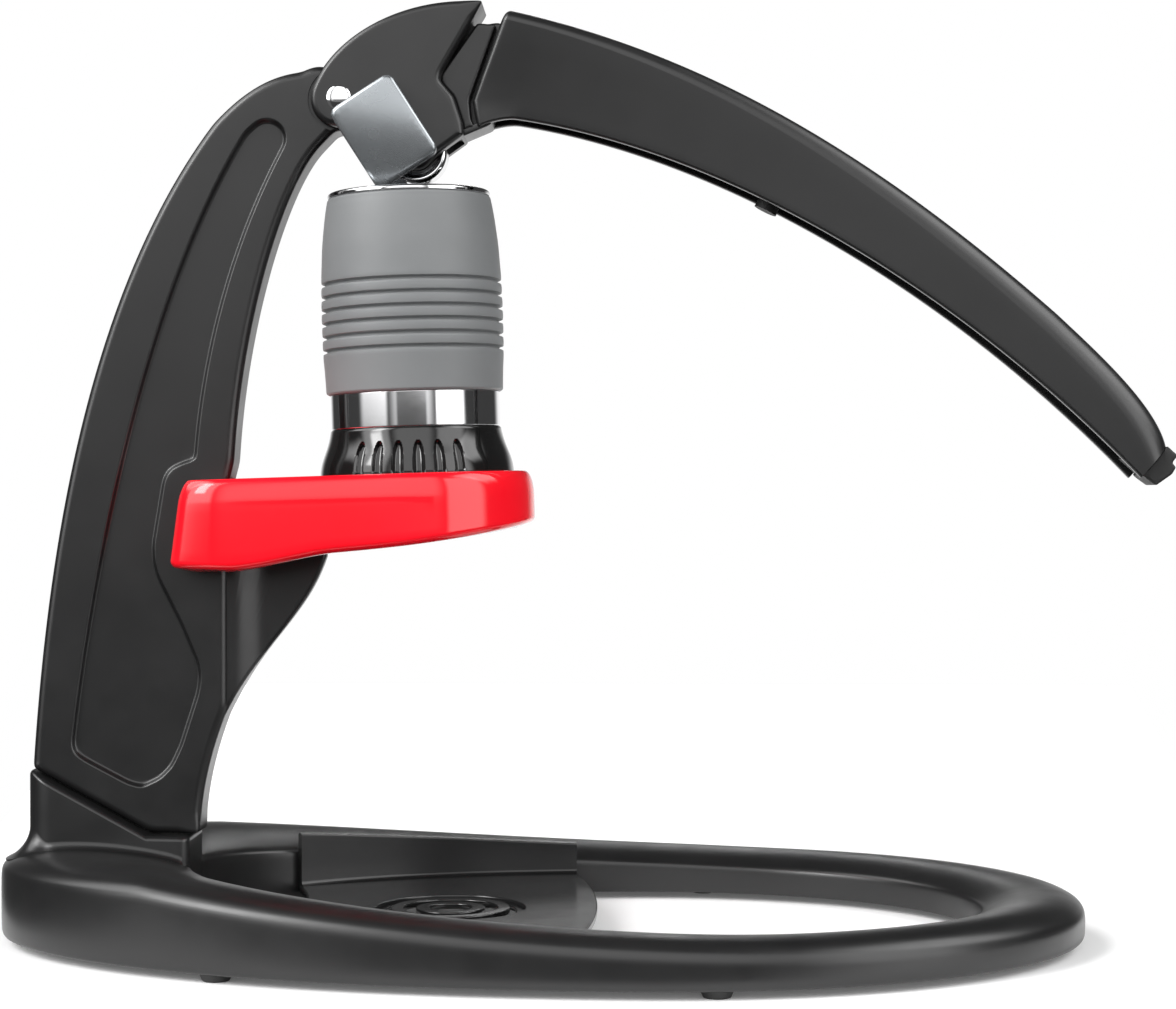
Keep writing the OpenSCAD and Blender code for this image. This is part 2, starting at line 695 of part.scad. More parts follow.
module corbel() {
  flare = [
    for (i = [0:8])
      [corbel_centre_x + corbel_flare_len * i / 8, lerp(corbel_w, corbel_web_t, 1 - pow(1 - i / 8, 2)) / 2]
  ];
  side = concat([[corbel_back_x - 5, corbel_w / 2]], flare);
  nose_r = corbel_web_t / 2;
  // The bracket's underside in the part's frame, less the gap
  top = [
    for (i = [0:12])
      let (
        x = lerp(corbel_nose_x + 1, corbel_back_x, i / 12) - brew_x,
        z = lookup(x, bracket_under) - bracket_gap
      )
      [brew_x + x * cos(brew_tilt) - z * sin(brew_tilt), bracket_z + x * sin(brew_tilt) + z * cos(brew_tilt)]
  ];
  intersection() {
    side_plate(corbel_w) polygon(concat(
      bezier(corbel_curve, 12),
      top,
      [[corbel_back_x, corbel_low_z - 0.7]]
    ));
    linear_extrude(big)
      polygon(concat(
        side,
        arc([corbel_nose_x - nose_r, 0], nose_r, 90, -90, 16),
        reversed([for (p = side) [p[0], -p[1]]])
      ));
  }
}

module post() color(black) placed() {
  difference() {
    union() {
      difference() {
        side_plate(post_t) polygon(post_outline);
        for (s = [-1, 1])
          translate([0, s * (post_t / 2 - panel_depth / 2 + 0.5), 0])
            side_plate(panel_depth + 1) polygon(panel_outline);
      }
      corbel();
      translate([tenon_x0, -tenon_t / 2, tenon_low_z])
        cube([tenon_x1 - tenon_x0, tenon_t, 2 * tenon_len]);
    }
    for (s = [-1, 1])
      translate([0, s * post_t / 2, 0])
        cross_bar(pivot_x, pivot_z, seam_r, -seam_depth, seam_depth);
    cross_bar(pivot_x, pivot_z, pivot_d / 2 + seat_clear, -post_t, post_t);
    translate([pivot_x, 0, pivot_z])
      rotate([0, -grub_lean, 0])
        cylinder(d = grub_d, h = 2 * post_end_r);
    for (x = post_bolt_xs)
      translate([x, 0, tenon_low_z - 1])
        cylinder(d = bolt_d + 2 * seat_clear, h = post_bolt_len);
    translate([-big, 0, bracket_bolt_z])
      rotate([0, 90, 0])
        cylinder(d = bolt_d + 0.4, h = 2 * big);
    translate([-big, 0, bracket_bolt_z])
      rotate([0, 90, 0])
        cylinder(d = bolt_head_d + 0.5, h = big + neck_x - bracket_bolt_reach);
  }
}

// Hexagon socket bolt along +Z, with its head's seat at z = 0
module socket_bolt(d, head_d, head_h, l) {
  difference() {
    union() {
      cylinder(d = d, h = l);
      translate([0, 0, -head_h])
        cylinder(d = head_d, h = head_h + eps);
    }
    translate([0, 0, -head_h - 1])
      cylinder(d = head_d / 2, h = 0.6 * head_h + 1, $fn = 6);
  }
}

module post_bolts() color(steel) placed() {
  for (x = post_bolt_xs)
    translate([x, 0, bolt_seat_z])
      socket_bolt(bolt_d, bolt_head_d, bolt_head_h, post_bolt_len);
}

// Round front with straight arms that leave it without a corner
module bracket_plan() {
  polygon(concat(
    arc([0, 0], bracket_r, tangent_a, -tangent_a, 60),
    arc([bracket_corner_x, -bracket_corner_y], bracket_corner_r, -tangent_a, -180, 8),
    arc([bracket_corner_x, bracket_corner_y], bracket_corner_r, 180, tangent_a, 8)
  ));
}

module brew_bracket() color(red) placed() {
  difference() {
    brew_frame() difference() {
      intersection() {
        translate([0, 0, -big / 2])
          linear_extrude(big)
            bracket_plan();
        side_plate(big) polygon(concat(
          [[-bracket_reach + bracket_back_slant, 0]],
          bracket_under,
          [[bracket_r + 1, 0]]
        ));
      }
      translate([0, 0, -big / 2])
        cylinder(r = bracket_bore_r, h = big);
    }
    translate([-big + neck_x + bracket_gap, -post_t / 2 - side_gap / 2, 0])
      cube([big, post_t + side_gap, big]);
    translate([neck_x - 1, 0, bracket_bolt_z])
      rotate([0, 90, 0])
        cylinder(d = bolt_d + 2 * seat_clear, h = bracket_bolt_hold + 1);
  }
}

module bracket_bolt() color(steel) placed() {
  seat_x = neck_x - bracket_bolt_reach;
  translate([seat_x, 0, bracket_bolt_z])
    rotate([0, 90, 0])
      socket_bolt(bolt_d, bolt_head_d, bolt_head_h, bracket_bolt_reach + bracket_bolt_hold - 1);
}

module portafilter_base() color(gloss_black) placed() brew_frame() {
  top_r = cylinder_d / 2;
  foot_r = flare_d / 2;
  flare = [[foot_r, 1.4], [foot_r - 0.3, 5.6], [top_r + 1.2, 7.2], [top_r + 0.3, portafilter_h - 0.4]];
  flute_r = 1.7;
  flute_h = 7;
  flute_lean = 11;
  difference() {
    rotate_extrude() polygon(concat(
      [[spout_r + 0.1, -socket_drop], [bracket_bore_r - 0.3, -socket_drop], [bracket_bore_r - 0.3, 0], [foot_r, 0]],
      bezier(flare, 10),
      [[pocket_r, portafilter_h - 0.4], [pocket_r, pocket_z], [spout_r + 0.1, pocket_z]]
    ));
    for (side = [-90, 90], i = [0:flute_n - 1])
      rotate([0, 0, side + 12.5 * (i - (flute_n - 1) / 2)])
        translate([foot_r + 0.55, 0, 1])
          rotate([0, -flute_lean, 0]) {
            cylinder(r = flute_r, h = flute_h, $fn = 24);
            translate([0, 0, flute_h])
              sphere(r = flute_r, $fn = 24);
          }
  }
}

module portafilter_basket() color(steel) placed() brew_frame() {
  hole_rings = [[0, 1], [5, 6], [10, 12], [15, 18]];
  difference() {
    rotate_extrude() polygon([
      [0, basket_z + 0.1], [pocket_r - 0.4, basket_z + 0.1], [pocket_r - 0.4, gasket_z],
      [pocket_r - 0.4 - basket_wall, gasket_z], [pocket_r - 0.4 - basket_wall, basket_z + 0.1 + basket_wall],
      [0, basket_z + 0.1 + basket_wall]
    ]);
    for (ring = hole_rings, i = [0:ring[1] - 1])
      rotate([0, 0, 360 * i / ring[1]])
        translate([ring[0], 0, basket_z - 1])
          cylinder(r = 0.6, h = 3, $fn = 16);
  }
}

module basket_gasket() color(rubber) placed() brew_frame() {
  translate([0, 0, gasket_z])
    difference() {
      cylinder(r = pocket_r - 0.3, h = gasket_t);
      translate([0, 0, -1])
        cylinder(r = pocket_r - 2.6, h = gasket_t + 2);
    }
}

module dispersion_screen() color(steel) placed() brew_frame() {
  hole_rings = [[4, 6], [8, 10], [12, 16], [16, 20]];
  translate([0, 0, screen_z])
    difference() {
      cylinder(r = pocket_r - 0.3, h = screen_t);
      for (ring = hole_rings, i = [0:ring[1] - 1])
        rotate([0, 0, 360 * i / ring[1]])
          translate([ring[0], 0, -1])
            cylinder(r = 0.6, h = screen_t + 2, $fn = 16);
    }
}

module spout() color(steel) placed() brew_frame() {
  rotate_extrude() polygon([
    [spout_bore_r, spout_low_z], [spout_r - 0.8, spout_low_z], [spout_r, -socket_drop], [spout_r, pocket_z],
    [spout_r + 4, pocket_z], [spout_r + 4, basket_z], [spout_bore_r + 2, basket_z], [spout_bore_r, basket_z - 2]
  ]);
}

module brew_cylinder() color(steel) placed() brew_frame() {
  band_r = cylinder_d / 2;
  rotate_extrude() polygon([
    [bore_d / 2, spigot_z], [spigot_r, spigot_z], [spigot_r, band_z - 0.4], [band_r, band_z - 0.4],
    [band_r, sleeve_z], [barrel_r, sleeve_z], [barrel_r, sleeve_top_z], [sleeve_top_d / 2 - 0.2, sleeve_top_z],
    [sleeve_top_d / 2 - 0.2, cylinder_top_z - 0.6], [sleeve_top_d / 2 - 0.8, cylinder_top_z],
    [bore_d / 2 + 0.6, cylinder_top_z], [bore_d / 2, cylinder_top_z - 0.6]
  ]);
}

module silicone_sleeve() color(grey) placed() brew_frame() {
  inner_r = barrel_r + seat_clear;
  rib_r = sleeve_rib_d / 2;
  groove_r = rib_r - 0.9;
  bottom_r = rib_r - 0.8;
  rib_z0 = sleeve_z + 11.4;
  groove_w = 1.1;
  rib_top_z = rib_z0 + (groove_n - 1) * groove_pitch + groove_w;
  top_r = sleeve_top_d / 2;
  ribs = [
    for (i = [0:groove_n - 1])
      let (z = rib_z0 + i * groove_pitch)
      each [[rib_r - 0.25, z - 0.35], [groove_r, z], [groove_r, z + groove_w - 0.3], [rib_r - 0.25, z + groove_w], [rib_r, z + groove_w + 0.6]]
  ];
  side = [[rib_r - 0.5, rib_top_z + 2], [rib_r - 0.5, rib_top_z + 9], [top_r + 0.6, sleeve_top_z - 10], [top_r, sleeve_top_z - 1]];
  rotate_extrude() polygon(concat(
    [[inner_r, sleeve_z + seat_clear], [bottom_r - 0.4, sleeve_z + seat_clear], [bottom_r, sleeve_z + 1], [rib_r - 0.4, rib_z0 - 2]],
    ribs,
    bezier(side, 8),
    [[top_r - 0.6, sleeve_top_z], [inner_r, sleeve_top_z]]
  ));
}

module piston() color(gloss_black) placed() brew_frame() {
  groove = [2 * seal_r + 0.3, seal_ring_r - seal_r - seat_clear];
  difference() {
    translate([0, 0, piston_z])
      cylinder(r = piston_r, h = piston_h);
    for (z = seal_zs)
      translate([0, 0, z - groove[0] / 2])
        difference() {
          cylinder(r = piston_r + 1, h = groove[0]);
          translate([0, 0, -1])
            cylinder(r = groove[1], h = groove[0] + 2);
        }
    translate([0, 0, stem_low_z])
      cylinder(d = stem_d + 2 * seat_clear, h = big);
  }
}

module piston_seals() color(rubber) placed() brew_frame() {
  for (z = seal_zs)
    translate([0, 0, z])
      rotate_extrude()
        translate([seal_ring_r, 0])
          circle(seal_r, $fn = 24);
}

module piston_stem() color(steel) placed() brew_frame() {
  translate([0, 0, stem_low_z])
    cylinder(d = stem_d, h = cap_top_z - cap_t - stem_low_z);
  translate([0, 0, stem_low_z])
    cylinder(d = 0.6 * stem_d, h = cap_top_z - cap_t / 2 - stem_low_z);
}

module stem_cap() color(steel) placed() brew_frame() {
  difference() {
    translate([0, 0, cap_top_z - cap_t])
      cylinder(r = cap_r, h = cap_t);
    translate([0, 0, cap_top_z - cap_t - 1])
      cylinder(d = 0.6 * stem_d + 2 * seat_clear, h = cap_t / 2 + 1);
  }
}

module pivot_pin() color(steel) placed() cross_bar(pivot_x, pivot_z, pivot_d / 2, -lever_w / 2, lever_w / 2);

module pivot_grub_screw() color(steel) placed() {
  translate([pivot_x, 0, pivot_z])
    rotate([0, -grub_lean, 0])
      translate([0, 0, pivot_d / 2 + seat_clear])
        cylinder(d = grub_d - 2 * seat_clear, h = grub_l);
}

module thrust_washers() color(steel) placed() {
  gap = side_gap + seam_depth;
  for (s = [-1, 1])
    translate([0, s * (fork_gap / 2 - gap / 2), 0])
      difference() {
        cross_bar(pivot_x, pivot_z, pivot_d, -washer_t / 2, washer_t / 2);
        cross_bar(pivot_x, pivot_z, pivot_d / 2 + run_clear, -1, 1);
      }
}

module pivot_bushes() color(steel) placed() {
  for (s = [-1, 1])
    translate([0, s * (fork_gap + lever_w) / 4, 0])
      difference() {
        l = (lever_w - fork_gap) / 2 - 0.4;
        cross_bar(pivot_x, pivot_z, pivot_d / 2 + bush_wall, -l / 2, l / 2);
        cross_bar(pivot_x, pivot_z, pivot_d / 2 + run_clear, -l, l);
      }
}

module lever_head() color(black) placed() {
  pocket_r = roller_r + 0.8;
  pocket_end_x = roller_x + pocket_r + 3.4;
  difference() {
    union() {
      side_plate(lever_w) polygon(head_outline);
      side_plate(neck_t) polygon(neck_tenon);
    }
    side_plate(fork_gap)
      translate([-big + pivot_x + slot_reach, 0])
        square([big, big]);
    side_plate(roller_gap) {
      translate(roller)
        circle(pocket_r);
      translate([pivot_x + slot_reach - 1, 0])
        square([pocket_end_x - pivot_x - slot_reach + 1, roller_z + 4]);
    }
    cross_bar(pivot_x, pivot_z, pivot_d / 2 + bush_wall + seat_clear, -lever_w, lever_w);
    cross_bar(roller_x, roller_z, yoke_pin_d / 2 + run_clear, -lever_w, lever_w);
    for (x = screw_xs) {
      translate([x, 0, 0])
        cylinder(d = screw_head_d + 0.6, h = screw_seat_z);
      translate([x, 0, 0])
        cylinder(d = screw_d + 0.4, h = big);
    }
  }
}

// Height of the handle's top at x, near the lever head
function handle_top_z(x) = lookup(x, [for (i = [0:12]) handle_top(i / 40)]);

module bumper_axis() {
  at = handle_low(bumper_s);
  u = bezier_dir(handle_low_b, (bumper_s - low_split) / (1 - low_split));
  translate([at[0], 0, at[1]])
    rotate([0, -atan2(u[1], u[0]), 0])
      children();
}

module lever_handle() color(black) placed() {
  boss_h = norm(handle_top(bumper_s) - handle_low(bumper_s)) - handle_wall;
  difference() {
    union() {
      loft([for (i = [0:handle_steps]) handle_section(i / handle_steps)], false);
      bumper_axis()
        translate([0, 0, 1])
          cylinder(d = bumper_d + 2 * bumper_boss_wall, h = boss_h);
    }
    bumper_axis()
      translate([0, 0, -1])
        cylinder(d = bumper_d + 2 * seat_clear, h = bumper_rise + 1);
    for (x = screw_xs)
      translate([x, 0, screw_seat_z])
        cylinder(d = screw_d + 2 * seat_clear, h = handle_top_z(x) - handle_wall + screw_bite - screw_seat_z);
  }
}

module handle_screws() color(steel) placed() {
  for (x = screw_xs)
    translate([x, 0, screw_seat_z])
      socket_bolt(screw_d, screw_head_d, screw_head_h, handle_top_z(x) - handle_wall + screw_bite - 0.2 - screw_seat_z);
}

module handle_bumper() color(rubber) placed() bumper_axis() {
  translate([0, 0, -bumper_out])
    cylinder(d = bumper_d, h = bumper_out + bumper_rise);
}

module handle_end_cap() color(rubber) placed() {
  plug_w = lever_w - 2 * handle_wall - 2 * cap_plug_gap - 3;
  plate = [for (q = cap_ridge) end_low + q[0] * (end_top - end_low) + (q[1] * end_cap_t) * end_out];
  plug_top = end_h - handle_wall - cap_plug_gap;
  side_plate(lever_w - 6) polygon(plate);
  translate([end_low[0], 0, end_low[1]])
    rotate([0, 90 - end_a, 0])
      translate([-cap_plug_len, -plug_w / 2, 1.6])
        cube([cap_plug_len + eps, plug_w, plug_top - 3]);
}

module yoke_plan() {
  w = yoke_w / 2;
  l = yoke_l / 2;
  r = yoke_corner_r;
  square([yoke_w - 2 * r, yoke_l], center = true);
  square([yoke_w, yoke_l - 2 * r], center = true);
  for (sx = [-1, 1], sy = [-1, 1])
    translate([sx * (w - r), sy * (l - r)])
      circle(r);
}

yoke_shift = [-7.85, 4.5];
yoke_centre = roller + yoke_shift;
module yoke_cheeks() color(yoke_grey) placed() {
  inner_y = lever_w / 2 + side_gap;
  for (s = [-1, 1])
    difference() {
      translate([0, s * (inner_y + yoke_t / 2), 0])
        side_plate(yoke_t)
          translate(yoke_centre)
            rotate(yoke_lean)
              yoke_plan();
      cross_bar(roller_x, roller_z, yoke_pin_d / 2 + seat_clear, -inner_y - 0.7 * yoke_t, inner_y + 0.7 * yoke_t);
    }
}

module yoke_pin() color(steel) placed() {
  reach = lever_w / 2 + side_gap + 0.7 * yoke_t - 0.1;
  cross_bar(roller_x, roller_z, yoke_pin_d / 2, -reach, reach);
}

module pressure_roller() color(steel) placed() {
  difference() {
    cross_bar(roller_x, roller_z, roller_r, -roller_w / 2, roller_w / 2);
    cross_bar(roller_x, roller_z, yoke_pin_d / 2 + run_clear, -roller_w, roller_w);
  }
}

base_ring();
rubber_feet();
drip_tray();
drip_grate();
post();
post_bolts();
brew_bracket();
bracket_bolt();
portafilter_base();
portafilter_basket();
basket_gasket();
dispersion_screen();
spout();
brew_cylinder();
silicone_sleeve();
piston();
piston_seals();
piston_stem();
stem_cap();
pivot_pin();
pivot_grub_screw();
thrust_washers();
pivot_bushes();
lever_head();
lever_handle();
handle_screws();
handle_bumper();
handle_end_cap();
yoke_cheeks();
yoke_pin();
pressure_roller();
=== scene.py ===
import json
import math

import bmesh
import bpy
import numpy as np
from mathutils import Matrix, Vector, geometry
from numpy.linalg import norm


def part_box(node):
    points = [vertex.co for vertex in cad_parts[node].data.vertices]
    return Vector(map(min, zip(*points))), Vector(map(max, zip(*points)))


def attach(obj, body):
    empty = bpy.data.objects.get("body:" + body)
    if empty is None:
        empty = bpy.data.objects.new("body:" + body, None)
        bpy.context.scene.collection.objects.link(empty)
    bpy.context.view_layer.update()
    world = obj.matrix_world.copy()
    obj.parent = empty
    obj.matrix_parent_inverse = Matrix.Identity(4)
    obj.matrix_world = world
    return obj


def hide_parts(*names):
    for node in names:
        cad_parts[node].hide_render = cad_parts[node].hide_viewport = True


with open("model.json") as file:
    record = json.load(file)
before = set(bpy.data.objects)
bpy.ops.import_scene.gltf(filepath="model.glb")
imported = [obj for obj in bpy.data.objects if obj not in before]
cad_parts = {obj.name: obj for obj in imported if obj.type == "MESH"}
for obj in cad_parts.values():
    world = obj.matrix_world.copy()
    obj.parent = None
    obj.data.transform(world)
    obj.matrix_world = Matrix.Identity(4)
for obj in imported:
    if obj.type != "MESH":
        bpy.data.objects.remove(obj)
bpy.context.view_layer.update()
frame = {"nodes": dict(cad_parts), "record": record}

# Outlines below are in millimetres, in the frame of the part's source before it was centred
MM = 0.001
BASE_BACK_X = -159.5
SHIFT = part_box("base_ring")[0].x / MM - BASE_BACK_X

# Base ring
BASE_HALF_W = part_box("base_ring")[1].y / MM
BASE_WIDE_X = 18.0
BASE_FRONT_LEN = 116.0
BASE_BACK_LEN = BASE_WIDE_X - BASE_BACK_X
OPENING_HALF_W = BASE_HALF_W - 20.5
OPENING_FRONT_LEN = BASE_FRONT_LEN - 27.5
OPENING_BACK_LEN = BASE_BACK_LEN - 51.5
RING_BOTTOM_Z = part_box("base_ring")[0].z / MM
RIM_BACK_H = 25.4
RIM_FRONT_H = 14.2
RIM_OUTER_DROP = 3.7
RIM_INNER_DROP = 4.5
CROWN_PEAK = 0.38
SLOPE_X = (-112.0, 60.0)

# Post, in X and Z
POST_T = (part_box("post")[1].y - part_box("post")[0].y) / MM
POST_JOINT = [(-150.6, 46.4), (-118.9, 29.0), (-105.2, 28.8)]
POST_BACK = [(-150.8, 47.0), (-147.0, 105.7), (-136.0, 176.1), (-101.6, 221.4)]
POST_TOP = [POST_BACK[3], (-94.0, 229.6), (-86.5, 234.6), (-77.4, 235.4)]
POST_TIP = [(-75.4, 236.4), (-72.9, 237.0)]
POST_FRONT = [(-95.9, 129.8), (-93.9, 168.0), (-81.8, 206.5), (-72.0, 215.6)]
POST_FRONT_LOW = [POST_JOINT[2], (-105.0, 42.0), (-101.2, 54.0), (-97.5, 63.2)]
NECK_X = POST_FRONT_LOW[3][0]
PANEL_LEFT = [(-140.5, 53.2), (-137.0, 85.0), (-124.0, 170.0), (-93.0, 219.5)]
PANEL_RIGHT = [(-105.6, 130.0), (-103.5, 160.0), (-95.0, 190.0), (-81.8, 214.5)]
PANEL_HOOK = [
    (-110.6, 128.3), (-113.0, 127.0), (-114.1, 124.8), (-117.0, 107.2), (-116.8, 102.5), (-115.7, 98.8),
    (-109.3, 86.1), (-104.8, 75.5), (-104.2, 71.5), (-104.9, 66.9), (-109.5, 52.5), (-112.2, 46.8),
    (-115.5, 43.4), (-120.7, 40.9), (-124.7, 41.9), (-137.0, 48.4), (-139.8, 50.4),
]
CORBEL = [(-101.4, 54.0), (-91.5, 79.5), (-77.0, 86.0), (-71.2, 104.0)]
CORBEL_W = 12.5
CORBEL_WEB_T = 4.2
CORBEL_FLARE = (-97.6, 11.0)
SOCKET_T = 23.0
SOCKET_X = (-151.9, -107.2)
JOINT_GAP = 0.3
BOLT_Z = 113.5
BOLT_BORE_R = 4.5

# Hinge, lever head and handle, in X and Z
PIVOT = np.array((-66.9, 227.7))
HEAD_END_R = 7.8
SIDE_GAP = 0.4
FORK_GAP = POST_T + 2 * SIDE_GAP
SLOT_REACH = HEAD_END_R + 1.5
LEVER_W = (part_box("lever_head")[1].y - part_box("lever_head")[0].y) / MM
ROLLER = np.array((-46.5, 213.6))
ROLLER_R = 8.3
ROLLER_W = 8.8
ROLLER_GAP = 10.0
BOSS_R = 5.0
HEAD_TOP = [(-73.7, 231.5), (-68.1, 244.8), (-49.5, 255.4), (-28.0, 253.6)]
HEAD_RIGHT = [
    (-39.2, 234.4), (-39.7, 232.4), (-35.9, 228.0), (-33.4, 220.5), (-33.2, 217.7), (-37.7, 214.5),
    (-42.2, 211.2),
]
NECK = [
    (-36.0, 247.6), (-24.5, 249.2), (-2.0, 243.4), (3.0, 227.0), (-25.5, 226.0), (-26.4, 220.7),
    (-33.6, 217.6), (-35.5, 220.0), (-41.0, 224.0), (-41.0, 236.0),
]
NECK_T = 13.6
NECK_CORE_T = 4.0
NECK_SILL = [(-34.2, 219.4), (-25.0, 223.4), (-26.2, 220.7), (-33.6, 217.6)]
NECK_PANEL = [
    (-29.8, 248.2), (-24.5, 247.7), (-31.9, 227.4), (-31.4, 222.3), (-30.5, 220.2), (-33.3, 219.2),
    (-36.2, 228.2), (-39.5, 231.8), (-40.0, 234.0),
]
HANDLE_TOP_A = [(-21.9, 251.6), (34.5, 239.4), (81.5, 209.2), (126.7, 169.4)]
HANDLE_TOP_B = [HANDLE_TOP_A[3], (136.6, 160.1), (153.2, 145.2), (155.8, 134.1)]
HANDLE_LOW_A = [(-29.7, 219.9), (-26.0, 221.6), (-22.0, 222.4), (-19.1, 222.1)]
HANDLE_LOW_B = [HANDLE_LOW_A[3], (36.0, 213.5), (99.0, 176.5), (148.0, 125.4)]
TOP_SPLIT = 0.8
LOW_SPLIT = 0.06
HANDLE_WALL = 2.6
HANDLE_EDGE_R = 3.0
GRIP_EDGE_R = 7.5
YOKE_SIZE = (19.6, 25.0)
YOKE_LEAN = 32.7
YOKE_T = 6.0
YOKE_CENTRE = ROLLER + (-7.85, 4.5)
# Share of the way up the handle's end, and height out of it
CAP_RIDGE = [
    (0.1, 0), (0.1, 1.8), (0.13, 4.9), (0.58, 6.1), (0.75, 5.6), (0.77, 4.1), (0.98, 3.8), (0.98, 0),
]

# Brew head, heights above the bracket's top along its leaning axis
BREW_X = -46.5
BRACKET_Z = 125.7
BREW_TILT = math.radians(1.8)
BRACKET_R = 31.7
BRACKET_REACH = 65.4
ARM_HALF_W = POST_T / 2 + SIDE_GAP + 18.85
BRACKET_BACK_H = 23.2
BRACKET_FLAT = [(-BRACKET_REACH, -BRACKET_BACK_H), (-48.0, -23.8)]
BRACKET_STEP = [BRACKET_FLAT[1], (-40.0, -23.7), (-31.0, -20.6), (-21.0, -19.6)]
BRACKET_LOW = [BRACKET_STEP[3], (0.0, -18.4), (18.0, -16.7), (32.7, -13.4)]
BRACKET_BORE_R = 22.6
BAND_R = 23.0
BAND_Z = 13.5
SLEEVE_Z = BAND_Z + 9.2
SLEEVE_TOP_Z = SLEEVE_Z + 53.2
CYLINDER_TOP_Z = SLEEVE_TOP_Z + 1.4
BORE_R = 19.0
BARREL_R = BORE_R + 2.6
RIB_R = 24.7
SLEEVE_TOP_R = 22.3
FLARE_R = 26.3

# Tray
TRAY_CORNER_X = -84.5
TRAY_WALL_END_X = TRAY_CORNER_X + 79.5
TRAY_NOSE_LEN = 7.5
TRAY_BACK_SAG = 6.7
TRAY_TOP_Z = 8.3
TRAY_BOTTOM_Z = TRAY_TOP_Z - 2.4
TRAY_WALL_T = 2.0
TRAY_FAR_RISE = 1.0
TRAY_NEAR_RISE = -4.0
TRAY_GAP = 0.6
GRATE_X = -37.5
GRATE_R = 20.2


# Curves and outlines


def cubic(p, t):
    """Place on a cubic curve with four control points."""
    return (1 - t) ** 3 * p[0] + 3 * (1 - t) ** 2 * t * p[1] + 3 * (1 - t) * t**2 * p[2] + t**3 * p[3]


def bezier(p, n):
    return cubic(np.array(p, float), np.linspace(0, 1, n + 1)[:, None])


def arc(centre, r, a0, a1, n):
    a = np.radians(np.linspace(a0, a1, n + 1))
    return np.array(centre) + r * np.stack([np.cos(a), np.sin(a)], 1)


def lerp(a, b, t):
    return a + (b - a) * t


def smooth_step(t):
    t = np.clip(t, 0, 1)
    return t * t * (3 - 2 * t)


def resample(points, step):
    """A closed outline with its points at even steps."""
    p = np.vstack([points, points[:1]])
    keep = np.r_[True, norm(np.diff(p, axis=0), axis=1) > 1e-6]
    p = p[keep]
    s = np.r_[0, np.cumsum(norm(np.diff(p, axis=0), axis=1))]
    at = np.linspace(0, s[-1], max(8, round(s[-1] / step)), endpoint=False)
    return np.stack([np.interp(at, s, p[:, k]) for k in (0, 1)], 1)


def soften(points, size, step=0.7):
    """A closed outline with its corners rounded by a blur of the given size."""
    p = resample(np.vstack(points), step)
    n = len(p)
    i = np.arange(n)
    weight = np.exp(-0.5 * (np.minimum(i, n - i) * step / size) ** 2)
    weight /= weight.sum()
    spectrum = np.fft.fft(weight)[:, None]
    return np.real(np.fft.ifft(np.fft.fft(p, axis=0) * spectrum, axis=0))


def outward(loop):
    """Unit normals that point out of a closed outline."""
    d = np.roll(loop, -1, 0) - np.roll(loop, 1, 0)
    d /= norm(d, axis=1)[:, None]
    x, y = loop.T
    area = np.sum(x * np.roll(y, -1) - np.roll(x, -1) * y)
    return np.stack([d[:, 1], -d[:, 0]], 1) * np.sign(area)


def edge_radius(loop, r):
    """Edge radius along a closed outline, smaller round its tight corners so that no inset folds."""
    step = np.roll(loop, -1, 0) - loop
    length = norm(step, axis=1)
    heading = np.arctan2(step[:, 1], step[:, 0])
    bend = (heading - np.roll(heading, 1) + math.pi) % (2 * math.pi) - math.pi
    bend *= np.sign(bend.sum()) * 2 / (length + np.roll(length, 1))
    r = np.minimum(np.broadcast_to(np.asarray(r, float), len(loop)), 0.85 / np.maximum(bend, 1e-6))
    for _ in range(40):
        r = np.minimum(r, np.minimum(np.roll(r, 1), np.roll(r, -1)) + 0.25 * length)
    return r


def round_edge(steps):
    """Steps of a round edge from face to side: how far in from the side and off the face, in radii."""
    turns = [math.pi / 2 * k / steps for k in range(steps + 1)]
    return [(1 - math.sin(a), 1 - math.cos(a)) for a in turns]


def inside(points, loop):
    """Which points lie inside a closed outline."""
    x, y = np.asarray(points).T
    hit = np.zeros(len(x), bool)
    for (x0, y0), (x1, y1) in zip(loop, np.roll(loop, -1, 0)):
        if y0 != y1:
            hit ^= ((y0 > y) != (y1 > y)) & (x < (x1 - x0) * (y - y0) / (y1 - y0) + x0)
    return hit


def b_spline(points, n):
    """Closed smooth curve near a row of points, n steps for each."""
    p = np.asarray(points, float)
    out = []
    for t in np.arange(n) / n:
        weights = ((1 - t) ** 3, 3 * t**3 - 6 * t**2 + 4, -3 * t**3 + 3 * t**2 + 3 * t + 1, t**3)
        out.append(sum(w / 6 * np.roll(p, 1 - k, 0) for k, w in enumerate(weights)))
    return np.stack(out, 1).reshape(-1, p.shape[1])


# Meshes


